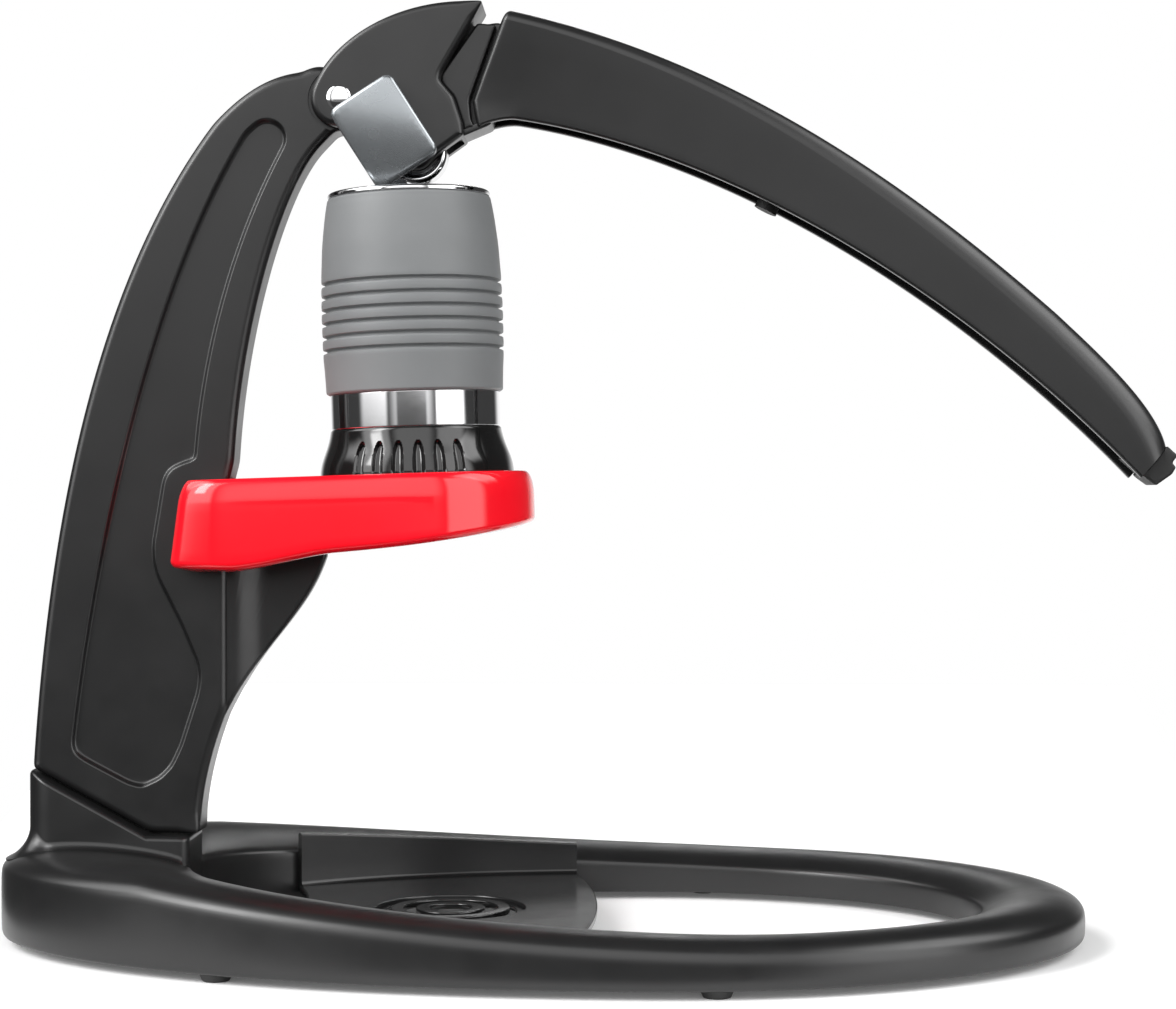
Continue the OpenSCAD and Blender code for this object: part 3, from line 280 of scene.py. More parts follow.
class Shell:
    """Points and faces of one piece, in millimetres."""

    def __init__(self):
        self.points = []
        self.faces = []

    def ring(self, points):
        start = len(self.points)
        self.points.extend(tuple(map(float, p)) for p in points)
        return list(range(start, len(self.points)))

    def bands(self, rings):
        for a, b in zip(rings, rings[1:]):
            for i in range(len(a)):
                j = (i + 1) % len(a)
                self.faces.append((a[i], a[j], b[j], b[i]))

    def tube(self, rings):
        """Rings joined into a solid with a flat face at each end."""
        self.bands(rings)
        self.faces.append(tuple(rings[0]))
        self.faces.append(tuple(rings[-1]))

    def fill(self, rings, axes, grid=0.0, place=None):
        """Fills an outline less its holes. Where the fill is curved, place puts points of a grid on it."""
        points = np.array(self.points)
        loops = [points[ring][:, axes] for ring in rings]
        flat = np.vstack(loops)
        index = [i for ring in rings for i in ring]
        edges = []
        for loop in loops:
            start = len(edges)
            edges += [(start + i, start + (i + 1) % len(loop)) for i in range(len(loop))]
        if grid:
            lo, hi = flat.min(0), flat.max(0)
            u, v = np.meshgrid(np.arange(lo[0], hi[0], grid), np.arange(lo[1], hi[1], grid))
            inner = np.stack([u.ravel(), v.ravel()], 1)
            inner = inner[inside(inner, loops[0])]
            for hole in loops[1:]:
                inner = inner[~inside(inner, hole)]
            near = np.array([np.min(norm(flat - p, axis=1)) for p in inner])
            inner = inner[near > 0.6 * grid]
            index += self.ring([place(*p) for p in inner])
            flat = np.vstack([flat, inner])
        cut = geometry.delaunay_2d_cdt([tuple(p) for p in flat], edges, [], 1, 1e-7)
        triangles = [[cut[3][i][0] for i in face] for face in cut[2] if all(cut[3][i] for i in face)]
        middle = np.array([flat[t].mean(0) for t in triangles])
        keep = inside(middle, loops[0])
        for hole in loops[1:]:
            keep &= ~inside(middle, hole)
        self.faces.extend(tuple(index[i] for i in t) for t, k in zip(triangles, keep) if k)


def plate(shell, loop, y0, y1, r, steps):
    """Round-edged plate of an outline in X and Z, between two values of y. Returns its end rings."""
    normal = outward(loop)
    r = edge_radius(loop, r)
    rings = []
    edge = round_edge(steps)
    for face, way, inset, drop in [(y0, 1, *e) for e in edge] + [(y1, -1, *e) for e in edge[::-1]]:
        p = loop - normal * (r * inset)[:, None]
        y = face + way * r * drop
        rings.append(shell.ring(np.stack([p[:, 0], y, p[:, 1]], 1)))
    shell.bands(rings)
    return rings[0], rings[-1]


def solid_plate(shell, loop, y0, y1, r, steps):
    for ring in plate(shell, loop, y0, y1, r, steps):
        shell.fill([ring], (0, 2))


# Radius at which a turned profile counts as having reached its axis
AXIS_R = 0.01


def lathe(shell, profile, place, n, bump=None):
    """Turned solid of a closed profile of radius and height. place puts x, y, z where they belong."""
    rings = []
    a = np.linspace(0, 2 * math.pi, n, endpoint=False)
    for r, z in profile:
        radius = np.broadcast_to(r + (bump(a, r, z) if bump else 0), n)
        rings.append(shell.ring([place(q * math.cos(t), q * math.sin(t), z) for q, t in zip(radius, a)]))
    if max(profile[0][0], profile[-1][0]) > 1.1 * AXIS_R:
        shell.bands(rings + rings[:1])
    else:
        shell.tube(rings)


def rod(r, z0, z1, place, n=48):
    """Plain cylinder for a cut."""
    shell = Shell()
    lathe(shell, [(AXIS_R, z0), (r, z0), (r, z1), (AXIS_R, z1)], place, n)
    return shell


def brew(x, y, z):
    """Place in the brew head's leaning frame."""
    c, s = math.cos(BREW_TILT), math.sin(BREW_TILT)
    return (BREW_X + c * x - s * z, y, BRACKET_Z + s * x + c * z)


def across(centre):
    """Frame with its axis along Y, at a place in X and Z."""
    return lambda x, y, z: (centre[0] + x, z, centre[1] + y)


def upright(x0, y0):
    return lambda x, y, z: (x0 + x, y0 + y, z)


def rounded(profile, r, steps=4):
    """A closed profile with its corners cut by arcs of radius r."""
    p = np.array(profile, float)
    out = []
    for before, at, after in zip(np.roll(p, 1, 0), p, np.roll(p, -1, 0)):
        a, b = before - at, after - at
        la, lb = norm(a), norm(b)
        d = min(r, 0.45 * la, 0.45 * lb)
        start, end = at + a / la * d, at + b / lb * d
        t = np.linspace(0, 1, steps + 1)[:, None]
        out.extend((1 - t) ** 2 * start + 2 * (1 - t) * t * at + t**2 * end)
    return np.array(out)


def bare_object(name, shell):
    mesh = bpy.data.meshes.new(name)
    mesh.from_pydata([((x + SHIFT) * MM, y * MM, z * MM) for x, y, z in shell.points], [], shell.faces)
    bm = bmesh.new()
    bm.from_mesh(mesh)
    bmesh.ops.remove_doubles(bm, verts=bm.verts, dist=1e-7)
    bmesh.ops.recalc_face_normals(bm, faces=bm.faces)
    bm.to_mesh(mesh)
    bm.free()
    ob = bpy.data.objects.new(name, mesh)
    bpy.context.scene.collection.objects.link(ob)
    return ob


def block(x0, x1, y0, y1, z0, z1):
    shell = Shell()
    plan = [(x0, y0), (x1, y0), (x1, y1), (x0, y1)]
    shell.tube([shell.ring([(x, y, z) for x, y in plan]) for z in (z0, z1)])
    return shell


def carve(ob, cutters):
    """Takes the cutters' shapes out of a piece."""
    tools = [bare_object("cutter", shell) for shell in cutters]
    for tool in tools:
        cut = ob.modifiers.new("cut", "BOOLEAN")
        cut.operation = "DIFFERENCE"
        cut.solver = "EXACT"
        cut.object = tool
    whole = bpy.data.meshes.new_from_object(ob.evaluated_get(bpy.context.evaluated_depsgraph_get()))
    ob.modifiers.clear()
    ob.data = whole
    for tool in tools:
        bpy.data.objects.remove(tool)


def piece(name, shell, nodes, finish=None, sharp=38, cutters=()):
    """Finished piece that stands for CAD nodes and rides on their body, in their finish or another."""
    ob = bare_object(name, shell)
    if cutters:
        carve(ob, cutters)
    mesh = ob.data
    mesh.polygons.foreach_set("use_smooth", [True] * len(mesh.polygons))
    mesh.set_sharp_from_angle(angle=math.radians(sharp))
    normals = ob.modifiers.new("flat faces stay flat", "WEIGHTED_NORMAL")
    normals.keep_sharp = True
    mesh.materials.clear()
    mesh.materials.append(MATERIALS[finish or SLOT_OF[nodes[0]]])
    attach(ob, BODY_OF[nodes[0]])
    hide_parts(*nodes)


BODY_OF = {n: body for body, members in frame["record"]["behaviour"]["bodies"].items() for n in members}
SLOT_OF = {s["node"]: s["material_slot"] for s in frame["record"]["subparts"]}


# Materials

# The span of a noise value that its colours and numbers are spread over
NOISE_SPAN = (0.3, 0.7)
TONE_SCALE = 35
ROUGH_SCALE = TONE_SCALE * 2.7
GRAIN_DEPTH = 0.00004


def set_inputs(node, **values):
    """Sets a node's inputs by their names, with _ for a space."""
    for key, value in values.items():
        node.inputs[key.replace("_", " ")].default_value = value


class Nodes:
    """Short calls for one material's node tree."""

    def __init__(self, name):
        self.material = bpy.data.materials.new(name)
        self.material.use_nodes = True
        self.tree = self.material.node_tree
        self.shader = self.tree.nodes["Principled BSDF"]
        self.where = self.tree.nodes.new("ShaderNodeTexCoord").outputs["Object"]

    def link(self, a, b):
        self.tree.links.new(a, b)

    def noise(self, scale, detail, stretch):
        mapping = self.tree.nodes.new("ShaderNodeMapping")
        set_inputs(mapping, Scale=stretch)
        self.link(self.where, mapping.inputs["Vector"])
        noise = self.tree.nodes.new("ShaderNodeTexNoise")
        set_inputs(noise, Scale=scale, Detail=detail, Roughness=0.55)
        self.link(mapping.outputs["Vector"], noise.inputs["Vector"])
        return noise.outputs["Fac"]

    def ramp(self, value, low, high):
        """A noise value mapped to a range of colours."""
        ramp = self.tree.nodes.new("ShaderNodeValToRGB")
        for element, at, colour in zip(ramp.color_ramp.elements, NOISE_SPAN, (low, high)):
            element.position = at
            element.color = (*colour, 1)
        self.link(value, ramp.inputs["Fac"])
        return ramp.outputs["Color"]

    def spread(self, value, low, high):
        """A noise value mapped to a range of numbers."""
        node = self.tree.nodes.new("ShaderNodeMapRange")
        set_inputs(node, From_Min=NOISE_SPAN[0], From_Max=NOISE_SPAN[1], To_Min=low, To_Max=high)
        self.link(value, node.inputs["Value"])
        return node.outputs["Result"]

    def bump(self, value, strength, distance):
        bump = self.tree.nodes.new("ShaderNodeBump")
        set_inputs(bump, Strength=strength, Distance=distance)
        self.link(value, bump.inputs["Height"])
        self.link(bump.outputs["Normal"], self.shader.inputs["Normal"])


def finish_of(name, low, high, rough, grain, grain_scale=1500, stretch=(1, 1, 1), **values):
    """Finish whose colour and roughness vary softly, with a fine grain."""
    n = Nodes(name)
    set_inputs(n.shader, **values)
    n.link(n.ramp(n.noise(TONE_SCALE, 4, stretch), low, high), n.shader.inputs["Base Color"])
    n.link(n.spread(n.noise(ROUGH_SCALE, 5, stretch), *rough), n.shader.inputs["Roughness"])
    n.bump(n.noise(grain_scale, 2, stretch), grain, GRAIN_DEPTH)
    return n.material


MATERIALS = {
    "black_plastic": finish_of(
        "satin black moulding", (0.007, 0.007, 0.0072), (0.010, 0.010, 0.0102), (0.29, 0.35), 0.06,
        Specular_IOR_Level=0.6,
    ),
    "tray_plastic": finish_of(
        "smooth black moulding", (0.008, 0.008, 0.0082), (0.012, 0.012, 0.0122), (0.18, 0.23), 0.03,
        Specular_IOR_Level=0.5,
    ),
    "gloss_black": finish_of(
        "gloss black moulding", (0.006, 0.006, 0.006), (0.009, 0.009, 0.009), (0.10, 0.15), 0.03,
        Coat_Weight=0.4, Coat_Roughness=0.04,
    ),
    "red_paint": finish_of(
        "gloss red paint", (0.97, 0.004, 0.014), (1.0, 0.007, 0.020), (0.30, 0.36), 0.03, 700,
        Specular_IOR_Level=0.1, Coat_Weight=1.0, Coat_Roughness=0.03,
    ),
    "silicone": finish_of(
        "grey silicone", (0.180, 0.187, 0.191), (0.204, 0.211, 0.215), (0.46, 0.54), 0.15, Sheen_Weight=0.15
    ),
    "grey_metal": finish_of(
        "satin grey casting", (0.305, 0.326, 0.342), (0.346, 0.367, 0.383), (0.24, 0.30), 0.08,
        Metallic=0.75, Coat_Weight=0.2, Coat_Roughness=0.2,
    ),
    "polished_steel": finish_of(
        "polished steel", (0.80, 0.80, 0.81), (0.86, 0.86, 0.87), (0.05, 0.09), 0.02, Metallic=1.0
    ),
    "steel": finish_of(
        "turned steel", (0.60, 0.60, 0.61), (0.70, 0.70, 0.71), (0.18, 0.28), 0.05,
        stretch=(1, 1, 9), Metallic=1.0,
    ),
    "bolt_steel": finish_of(
        "blackened bolt steel", (0.10, 0.10, 0.105), (0.16, 0.16, 0.165), (0.32, 0.42), 0.08, Metallic=1.0
    ),
    "bronze": finish_of(
        "sintered bronze", (0.40, 0.25, 0.11), (0.52, 0.34, 0.16), (0.34, 0.46), 0.2, Metallic=1.0
    ),
    "rubber": finish_of("black rubber", (0.014, 0.014, 0.014), (0.020, 0.020, 0.020), (0.55, 0.68), 0.25),
}


# Base ring with its socket


def egg(a, u):
    """Place on the ring's plan at angle a, from the outer edge at u = 0 to the opening at u = 1."""
    half_w = lerp(BASE_HALF_W, OPENING_HALF_W, u)
    front = lerp(BASE_FRONT_LEN, OPENING_FRONT_LEN, u)
    back = lerp(BASE_BACK_LEN, OPENING_BACK_LEN, u)
    return BASE_WIDE_X + np.where(np.cos(a) >= 0, front, back) * np.cos(a), half_w * np.sin(a)


def crown_z(x):
    t = np.clip((SLOPE_X[1] - x) / (SLOPE_X[1] - SLOPE_X[0]), 0, 1)
    return RIM_FRONT_H + (RIM_BACK_H - RIM_FRONT_H) * t**1.8


def rim_z(x, u):
    outer = RIM_OUTER_DROP * np.clip((CROWN_PEAK - u) / CROWN_PEAK, 0, 1) ** 2.4
    inner = RIM_INNER_DROP * np.clip((u - CROWN_PEAK) / (1 - CROWN_PEAK), 0, 1) ** 2
    return crown_z(x) - outer - inner


def ring_share(x, y):
    """How far a place lies between the ring's outer edge and its opening."""
    lo, hi = np.full(np.shape(x), -0.3), np.full(np.shape(x), 1.3)
    for _ in range(40):
        u = (lo + hi) / 2
        front, back = lerp(BASE_FRONT_LEN, OPENING_FRONT_LEN, u), lerp(BASE_BACK_LEN, OPENING_BACK_LEN, u)
        length = np.where(x >= BASE_WIDE_X, front, back)
        out = ((x - BASE_WIDE_X) / length) ** 2 + (y / lerp(BASE_HALF_W, OPENING_HALF_W, u)) ** 2 > 1
        lo, hi = np.where(out, lo, u), np.where(out, u, hi)
    return u


def ring_top_z(x, y):
    return rim_z(x, np.clip(ring_share(x, y), 0, 1))


def opening_y(x, inset):
    length = (OPENING_FRONT_LEN if x >= BASE_WIDE_X else OPENING_BACK_LEN) - inset
    return (OPENING_HALF_W - inset) * math.sqrt(max(0, 1 - ((x - BASE_WIDE_X) / length) ** 2))


def joint_z(x):
    """Height of the post's foot at x."""
    return np.interp(x, [p[0] for p in POST_JOINT], [p[1] for p in POST_JOINT])


def make_base():
    shell = Shell()
    rings = []
    bottom, rim_stations = RING_BOTTOM_Z, (0.05, 0.12, 0.2, 0.3, 0.4, 0.5, 0.6, 0.7, 0.8, 0.9, 0.96)
    for a in np.linspace(0, 2 * math.pi, 300, endpoint=False):
        (ox, oy), (ix, iy) = egg(a, 0.0), egg(a, 1.0)
        w = math.hypot(ox - ix, oy - iy)
        outer_z, inner_z = float(rim_z(ox, 0)), float(rim_z(ix, 1))
        section = [(1.0, bottom)] * 2 + [(0.5, bottom), (2.5 / w, bottom), (0.5 / w, bottom + 0.2)]
        section += [(0.0, bottom + 2.0), (0.0, lerp(bottom, outer_z, 0.6))]
        section += [(0.0, outer_z - 2.2), (0.01, outer_z - 0.5)]
        section += [(u, float(rim_z(lerp(ox, ix, u), u))) for u in rim_stations]
        section += [(0.995, inner_z - 0.2), (1.0, inner_z - 1.5), (1.0, lerp(bottom, inner_z, 0.5))]
        curve = b_spline(section, 3)
        rings.append(shell.ring([(lerp(ox, ix, u), lerp(oy, iy, u), z) for u, z in curve]))
    shell.bands(rings + rings[:1])
    bores = [rod(BOLT_BORE_R, -1.0, 6.5, upright(x, 0)) for x in (-134.0, -119.0)]
    piece("base_ring_smooth", shell, ["base_ring"], cutters=bores)

    # Socket: a block whose foot runs out onto the ring in a hollow curve
    shell = Shell()
    x0, x1 = SOCKET_X
    half, back_r, front_r, edge_r, foot_r, side_foot_r = SOCKET_T / 2, 8.0, 2.5, 1.3, 6.5, 2.2
    plan = soften(
        [
            arc((x1 - front_r, -half + front_r), front_r, -90, 0, 6),
            arc((x1 - front_r, half - front_r), front_r, 0, 90, 6),
            arc((x0 + back_r, half - back_r), back_r, 90, 180, 10),
            arc((x0 + back_r, -half + back_r), back_r, 180, 270, 10),
        ],
        0.6,
    )
    normal = outward(plan)
    front = smooth_step((normal[:, 0] - 0.3) / 0.5)
    foot_r = lerp(side_foot_r, foot_r, smooth_step((-normal[:, 0] - 0.2) / 0.6))
    rings = []
    for inset, drop in round_edge(5):
        p = plan - normal * edge_r * inset
        rings.append(shell.ring(np.column_stack([p, joint_z(p[:, 0]) - JOINT_GAP - edge_r * drop])))
    for rise, out in round_edge(10):
        p = plan + normal * (foot_r * out * (1 - front))[:, None]
        z = ring_top_z(p[:, 0], p[:, 1]) + foot_r * rise - 0.04
        z = np.minimum(lerp(z, bottom + 0.5, front), joint_z(p[:, 0]) - JOINT_GAP - edge_r - 0.3)
        rings.append(shell.ring(np.column_stack([p, z])))
    low = plan * 0.98 + (1 - 0.98) * plan.mean(0)
    rings.append(shell.ring(np.column_stack([low, np.full(len(low), bottom + 0.4)])))
    shell.bands(rings)
    shell.fill([rings[0]], (0, 1), 3.0, lambda x, y: (x, y, float(joint_z(x)) - JOINT_GAP))
    shell.faces.append(tuple(rings[-1]))
    piece("base_socket", shell, ["base_ring"], cutters=bores)


# Post with its recessed panels and the corbel under the bracket


def make_post():
    shell = Shell()
    outline = soften(
        [
            POST_JOINT[:1],
            bezier(POST_BACK, 40),
            bezier(POST_TOP, 12)[1:],
            POST_TIP,
            arc(PIVOT, HEAD_END_R + 0.6, 95, -100, 24),
            bezier(POST_FRONT, 40)[::-1],
            [(NECK_X, BRACKET_Z - 2)],
            bezier(POST_FRONT_LOW, 20)[::-1],
            [POST_JOINT[1]],
        ],
        1.1,
    )
    panel_top = arc((-86.8, 217.2), 5.8, 145, -20, 12)
    panel = soften([bezier(PANEL_LEFT, 40), panel_top, bezier(PANEL_RIGHT, 40)[::-1], PANEL_HOOK], 1.2)
    half, edge_r = POST_T / 2, 2.3
    # Slope of the recess: step in from the panel's outline, and depth
    rim = [
        (0, 0), (0.2, 0.04), (0.42, 0.17), (0.62, 0.42), (0.76, 0.7), (0.9, 0.98), (1.1, 1.23),
        (1.34, 1.36), (1.6, 1.4),
    ]
    inward = -outward(panel)
    for side, ring in zip((-1, 1), plate(shell, outline, -half, half, edge_r, 7)):
        rings = []
        for step_in, depth in rim:
            p = panel + inward * step_in
            rings.append(shell.ring([(x, side * (half - depth), z) for x, z in p]))
        shell.fill([ring, rings[0]], (0, 2))
        shell.bands(rings)
        shell.fill([rings[-1]], (0, 2))
    bore_x = -160
    cutters = [rod(BOLT_BORE_R, -20.0, 26.5, lambda x, y, z: (bore_x + z, y, BOLT_Z + x))]
    # A shallow round seat on each side, where the lever's fork turns
    seat_r, seat_depth = HEAD_END_R + 0.9, 0.5
    for side in (-1, 1):
        ends = sorted((side * (half - seat_depth), side * (half + 2)))
        cutters.append(rod(seat_r, *ends, across(PIVOT), 96))
    piece("post_smooth", shell, ["post"], cutters=cutters)

    # Corbel: a web with a narrow nose, which runs out to the post's sides in a hollow curve
    shell = Shell()
    root_x, nose_r, levels = -104.0, 1.1, []
    sweep = 1 - np.cos(np.linspace(0, math.pi / 2, 26))
    for x, z in bezier(CORBEL, 40):
        xs = x - (x - root_x) * sweep[::-1]
        xs = np.union1d(np.linspace(root_x, x, 30)[:-1], xs)
        xs = np.interp(np.linspace(0, 1, 50), np.linspace(0, 1, len(xs)), xs)
        t = np.clip((xs - CORBEL_FLARE[0]) / CORBEL_FLARE[1], 0, 1)
        half_t = lerp(CORBEL_W - 1.3, CORBEL_WEB_T, (1 - np.cos(math.pi * t)) / 2) / 2
        half_t -= nose_r * (1 - np.sqrt(1 - np.clip((xs - x + nose_r) / nose_r, 0, 1) ** 2))
        side = np.stack([xs, -half_t], 1)
        levels.append(shell.ring([(*p, z) for p in np.vstack([side, side[::-1] * (1, -1)])]))
    top_z = BRACKET_Z - 20.5
    levels.append(shell.ring([(x, y, top_z) for x, y, _ in (shell.points[i] for i in levels[-1])]))
    shell.tube(levels)
    piece("post_corbel", shell, ["post"])


# Lever: head with its neck, and the open handle


def make_head():
    shell = Shell()
    outline = soften(
        [
            bezier(HEAD_TOP, 30),
            HEAD_RIGHT,
            arc(ROLLER, BOSS_R, -50, -130, 8),
            arc(PIVOT, HEAD_END_R, -60, -200, 20),
        ],
        0.7,
        0.5,
    )
    solid_plate(shell, outline, -LEVER_W / 2, LEVER_W / 2, 1.7, 6)
    slot = block(-200, PIVOT[0] + SLOT_REACH, -FORK_GAP / 2, FORK_GAP / 2, 100, 300)
    # Pocket for the roller, open below
    pocket = Shell()
    pocket_r, start_x, end_x, low_z, top_z = ROLLER_R + 0.8, -58.6, -34.0, 190, ROLLER[1] + 4
    rise = math.degrees(math.asin((top_z - ROLLER[1]) / pocket_r))
    mouth = [(start_x, top_z), (start_x, low_z), (end_x, low_z), (end_x, top_z)]
    loop = np.vstack([arc(ROLLER, pocket_r, rise, 180 - rise, 20), mouth])
    rings = [pocket.ring([(x, y, z) for x, z in loop]) for y in (-ROLLER_GAP / 2, ROLLER_GAP / 2)]
    pocket.bands(rings)
    for ring in rings:
        pocket.fill([ring], (0, 2))
    piece("lever_head_smooth", shell, ["lever_head"], cutters=[slot, pocket])

    # Neck: a thin core, with a raised panel and a sill on it
    neck = Shell()
    solid_plate(neck, soften([NECK], 0.6, 0.5), -NECK_CORE_T / 2, NECK_CORE_T / 2, 0.9, 4)
    under = block(start_x, end_x, -ROLLER_GAP / 2, ROLLER_GAP / 2, low_z, top_z)
    piece("lever_neck", neck, ["lever_head"], cutters=[under])
    panel = Shell()
    solid_plate(panel, soften([NECK_PANEL], 0.6, 0.5), -NECK_T / 2, NECK_T / 2, 0.9, 5)
    solid_plate(panel, soften([NECK_SILL], 0.4, 0.3), 0.3 - NECK_T / 2, NECK_T / 2 - 0.3, 0.4, 3)
    piece("lever_neck_panel", panel, ["lever_head"])


def handle_curve(first, second, split, s):
    """Place at share s of a line of two curves, which meet at the share split."""
    p, t = (first, s / split) if s < split else (second, (s - split) / (1 - split))
    return cubic(np.array(p, float), t)


def make_handle():
    shell = Shell()
    rings = []
    lip_r, end_r, reach, near_len, draft_angle, most_lean = 0.7, 1.6, 195.0, 0.06, 6.0, 2.2
    # The near end swells: by how much, at which share of its height, and over which share of the length
    bulge, bulge_at, bulge_len = 3.2, 0.22, 0.05
    ends = end_r / reach * (1 - np.cos(np.linspace(0, math.pi / 2, 8)))
    for s in np.r_[ends, np.linspace(ends[-1], near_len, 14)[1:], np.linspace(near_len, 1, 150)[1:]]:
        low = handle_curve(HANDLE_LOW_A, HANDLE_LOW_B, LOW_SPLIT, s)
        top = handle_curve(HANDLE_TOP_A, HANDLE_TOP_B, TOP_SPLIT, s)
        full_h = norm(top - low)
        up = (top - low) / full_h
        # The sides lean in a little towards the open bottom, and the end's edge is round
        draft = math.tan(math.radians(draft_angle * (1 - s) ** 2))
        d = np.clip(1 - s * reach / end_r, 0, 1)
        tuck = end_r * (1 - math.sqrt(1 - d**2))
        half, h = LEVER_W / 2 - tuck, full_h - tuck
        r = min(lerp(HANDLE_EDGE_R, GRIP_EDGE_R, s), 0.7 * h)
        inner_r = max(r - HANDLE_WALL, 0.8)
        inner_h, inner_half = full_h - HANDLE_WALL, LEVER_W / 2 - HANDLE_WALL
        outer = [(-half, t * (h - r)) for t in (0.12, 0.25, 0.5, 0.75)]
        outer += list(arc((-half + r, h - r), r, 180, 90, 14)) + [(0.0, h)]
        inner = [(-inner_half, lip_r), (-inner_half, 0.5 * (inner_h - inner_r))]
        inner += list(arc((-inner_half + inner_r, inner_h - inner_r), inner_r, 180, 90, 6))
        inner += [(0.0, inner_h)]
        edge = [(lip_r * out, lip_r * rise) for rise, out in round_edge(4)]
        lip = [(-inner_half - out, z) for out, z in edge[1:]] + [(-half + out, z) for out, z in edge[::-1]]
        side = lip + outer
        section = side + [(-y, z) for y, z in side[-2::-1]] + [(-y, z) for y, z in inner] + inner[-2::-1]
        points = []
        for y, q in section:
            share = q / full_h
            # Two slopes that meet in a soft corner
            slopes = bulge * share / bulge_at, bulge * (1 - share) / (1 - bulge_at)
            bump = -0.25 * math.log(sum(math.exp(-4 * slope) for slope in slopes))
            at = low + up * q
            lean = min(draft * max(0.0, full_h - r - q), most_lean)
            x = at[0] - bump * (1 - smooth_step(s / bulge_len))
            points.append((x, y - math.copysign(lean, y), at[1]))
        rings.append(shell.ring(points))
    shell.bands(rings)
    half_n = len(rings[0]) // 2
    for ring in (rings[0], rings[-1]):
        loop = np.array([shell.points[i] for i in ring])
        rise = loop[half_n // 2] - loop[0]
        rise[1] = 0
        rise /= norm(rise)
        flat = np.stack([loop[:, 1] - loop[0, 1], (loop - loop[0]) @ rise], 1)
        cut = geometry.tessellate_polygon([[(*p, 0.0) for p in flat]])
        shell.faces.extend(tuple(ring[i] for i in t) for t in cut)
    piece("lever_handle_smooth", shell, ["lever_handle"])


def make_end_cap():
    shell = Shell()
    low, top = np.array(HANDLE_LOW_B[3]), np.array(HANDLE_TOP_B[3])
    along = top - low
    out = np.array((along[1], -along[0])) / norm(along)
    loop = soften([[low + share * along + height * out for share, height in CAP_RIDGE]], 0.35, 0.3)
    ridge_half_w = LEVER_W / 2 - 3
    solid_plate(shell, loop, -ridge_half_w, ridge_half_w, 0.8, 4)
    # Plug in the handle's end: how far its corners lie up the end and out of it
    up, plug_half_w = along / norm(along), 5.4
    corners = ((1.6, -6), (9, -6), (9, 0.5), (1.6, 0.5))
    plug = soften([[low + up * rise + out * reach for rise, reach in corners]], 0.4, 0.3)
    solid_plate(shell, plug, -plug_half_w, plug_half_w, 0.5, 3)
    piece("end_cap_smooth", shell, ["handle_end_cap"])


# Yoke, roller and pins


def make_yoke():
    shell = Shell()
    half_w, half_l, r = YOKE_SIZE[0] / 2, YOKE_SIZE[1] / 2, 2.2
    corners = ((1, 1, 0), (-1, 1, 90), (-1, -1, 180), (1, -1, 270))
    plan = [arc((sx * (half_w - r), sy * (half_l - r)), r, a, a + 90, 6) for sx, sy, a in corners]
    c, s = math.cos(math.radians(YOKE_LEAN)), math.sin(math.radians(YOKE_LEAN))
    loop = YOKE_CENTRE + np.vstack(plan) @ np.array(((c, s), (-s, c)))
    loop = resample(loop, 0.5)
    inner = LEVER_W / 2 + SIDE_GAP
    bow, crown, crown_reach, tilt, tilt_from = 1.5, 1.2, 13, 0.06, 12
    for y0 in (-inner - YOKE_T, inner):
        first, last = plate(shell, loop, y0, y0 + YOKE_T, 1.3, 4)
        shell.fill([first], (0, 2), 1.5, lambda x, z: (x, y0, z))
        shell.fill([last], (0, 2), 1.5, lambda x, z: (x, y0 + YOKE_T, z))
    # The outer faces are bowed: they fall back towards one long edge, at the top, and most at the bottom
    for i, (x, y, z) in enumerate(shell.points):
        t = 0.5 - (c * (x - YOKE_CENTRE[0]) + s * (z - YOKE_CENTRE[1])) / YOKE_SIZE[0]
        rise = z - YOKE_CENTRE[1]
        back = bow * t**2 + crown * (rise / crown_reach) ** 2 + tilt * (tilt_from - rise)
        shell.points[i] = (x, y - math.copysign(back * (abs(y) - inner) / YOKE_T, y), z)
    piece("yoke_smooth", shell, ["yoke_cheeks"])


def make_roller():
    shell = Shell()
    low, bore_r, recess, chamfer = -ROLLER_W / 2, 2.55, 0.6, 0.7
    profile = [(bore_r, low + recess), (ROLLER_R - 2.0, low + recess), (ROLLER_R - 1.6, low)]
    profile += [(ROLLER_R - chamfer, low), (ROLLER_R, low + chamfer)]
    profile += [(r, -z) for r, z in profile[::-1]]
    lathe(shell, rounded(profile, 0.3), across(ROLLER), 128)
    piece("roller_smooth", shell, ["pressure_roller"])


def make_pivot_pin():
    shell = Shell()
    half, r, dome, sunk = LEVER_W / 2, 3.5, 0.9, 0.3
    tip = [(r * math.sin(a), half + dome * math.cos(a) - sunk) for a in np.linspace(0.003, math.pi / 2, 12)]
    profile = tip + [(q, -z) for q, z in tip[::-1]]
    lathe(shell, profile, across(PIVOT), 64)
    piece("pivot_pin_smooth", shell, ["pivot_pin"], "polished_steel")


# Bracket and brew head


def bracket_under(x):
    line = np.vstack([BRACKET_FLAT, bezier(BRACKET_STEP, 20)[1:], bezier(BRACKET_LOW, 30)[1:]])
    return np.interp(x, line[:, 0], line[:, 1])


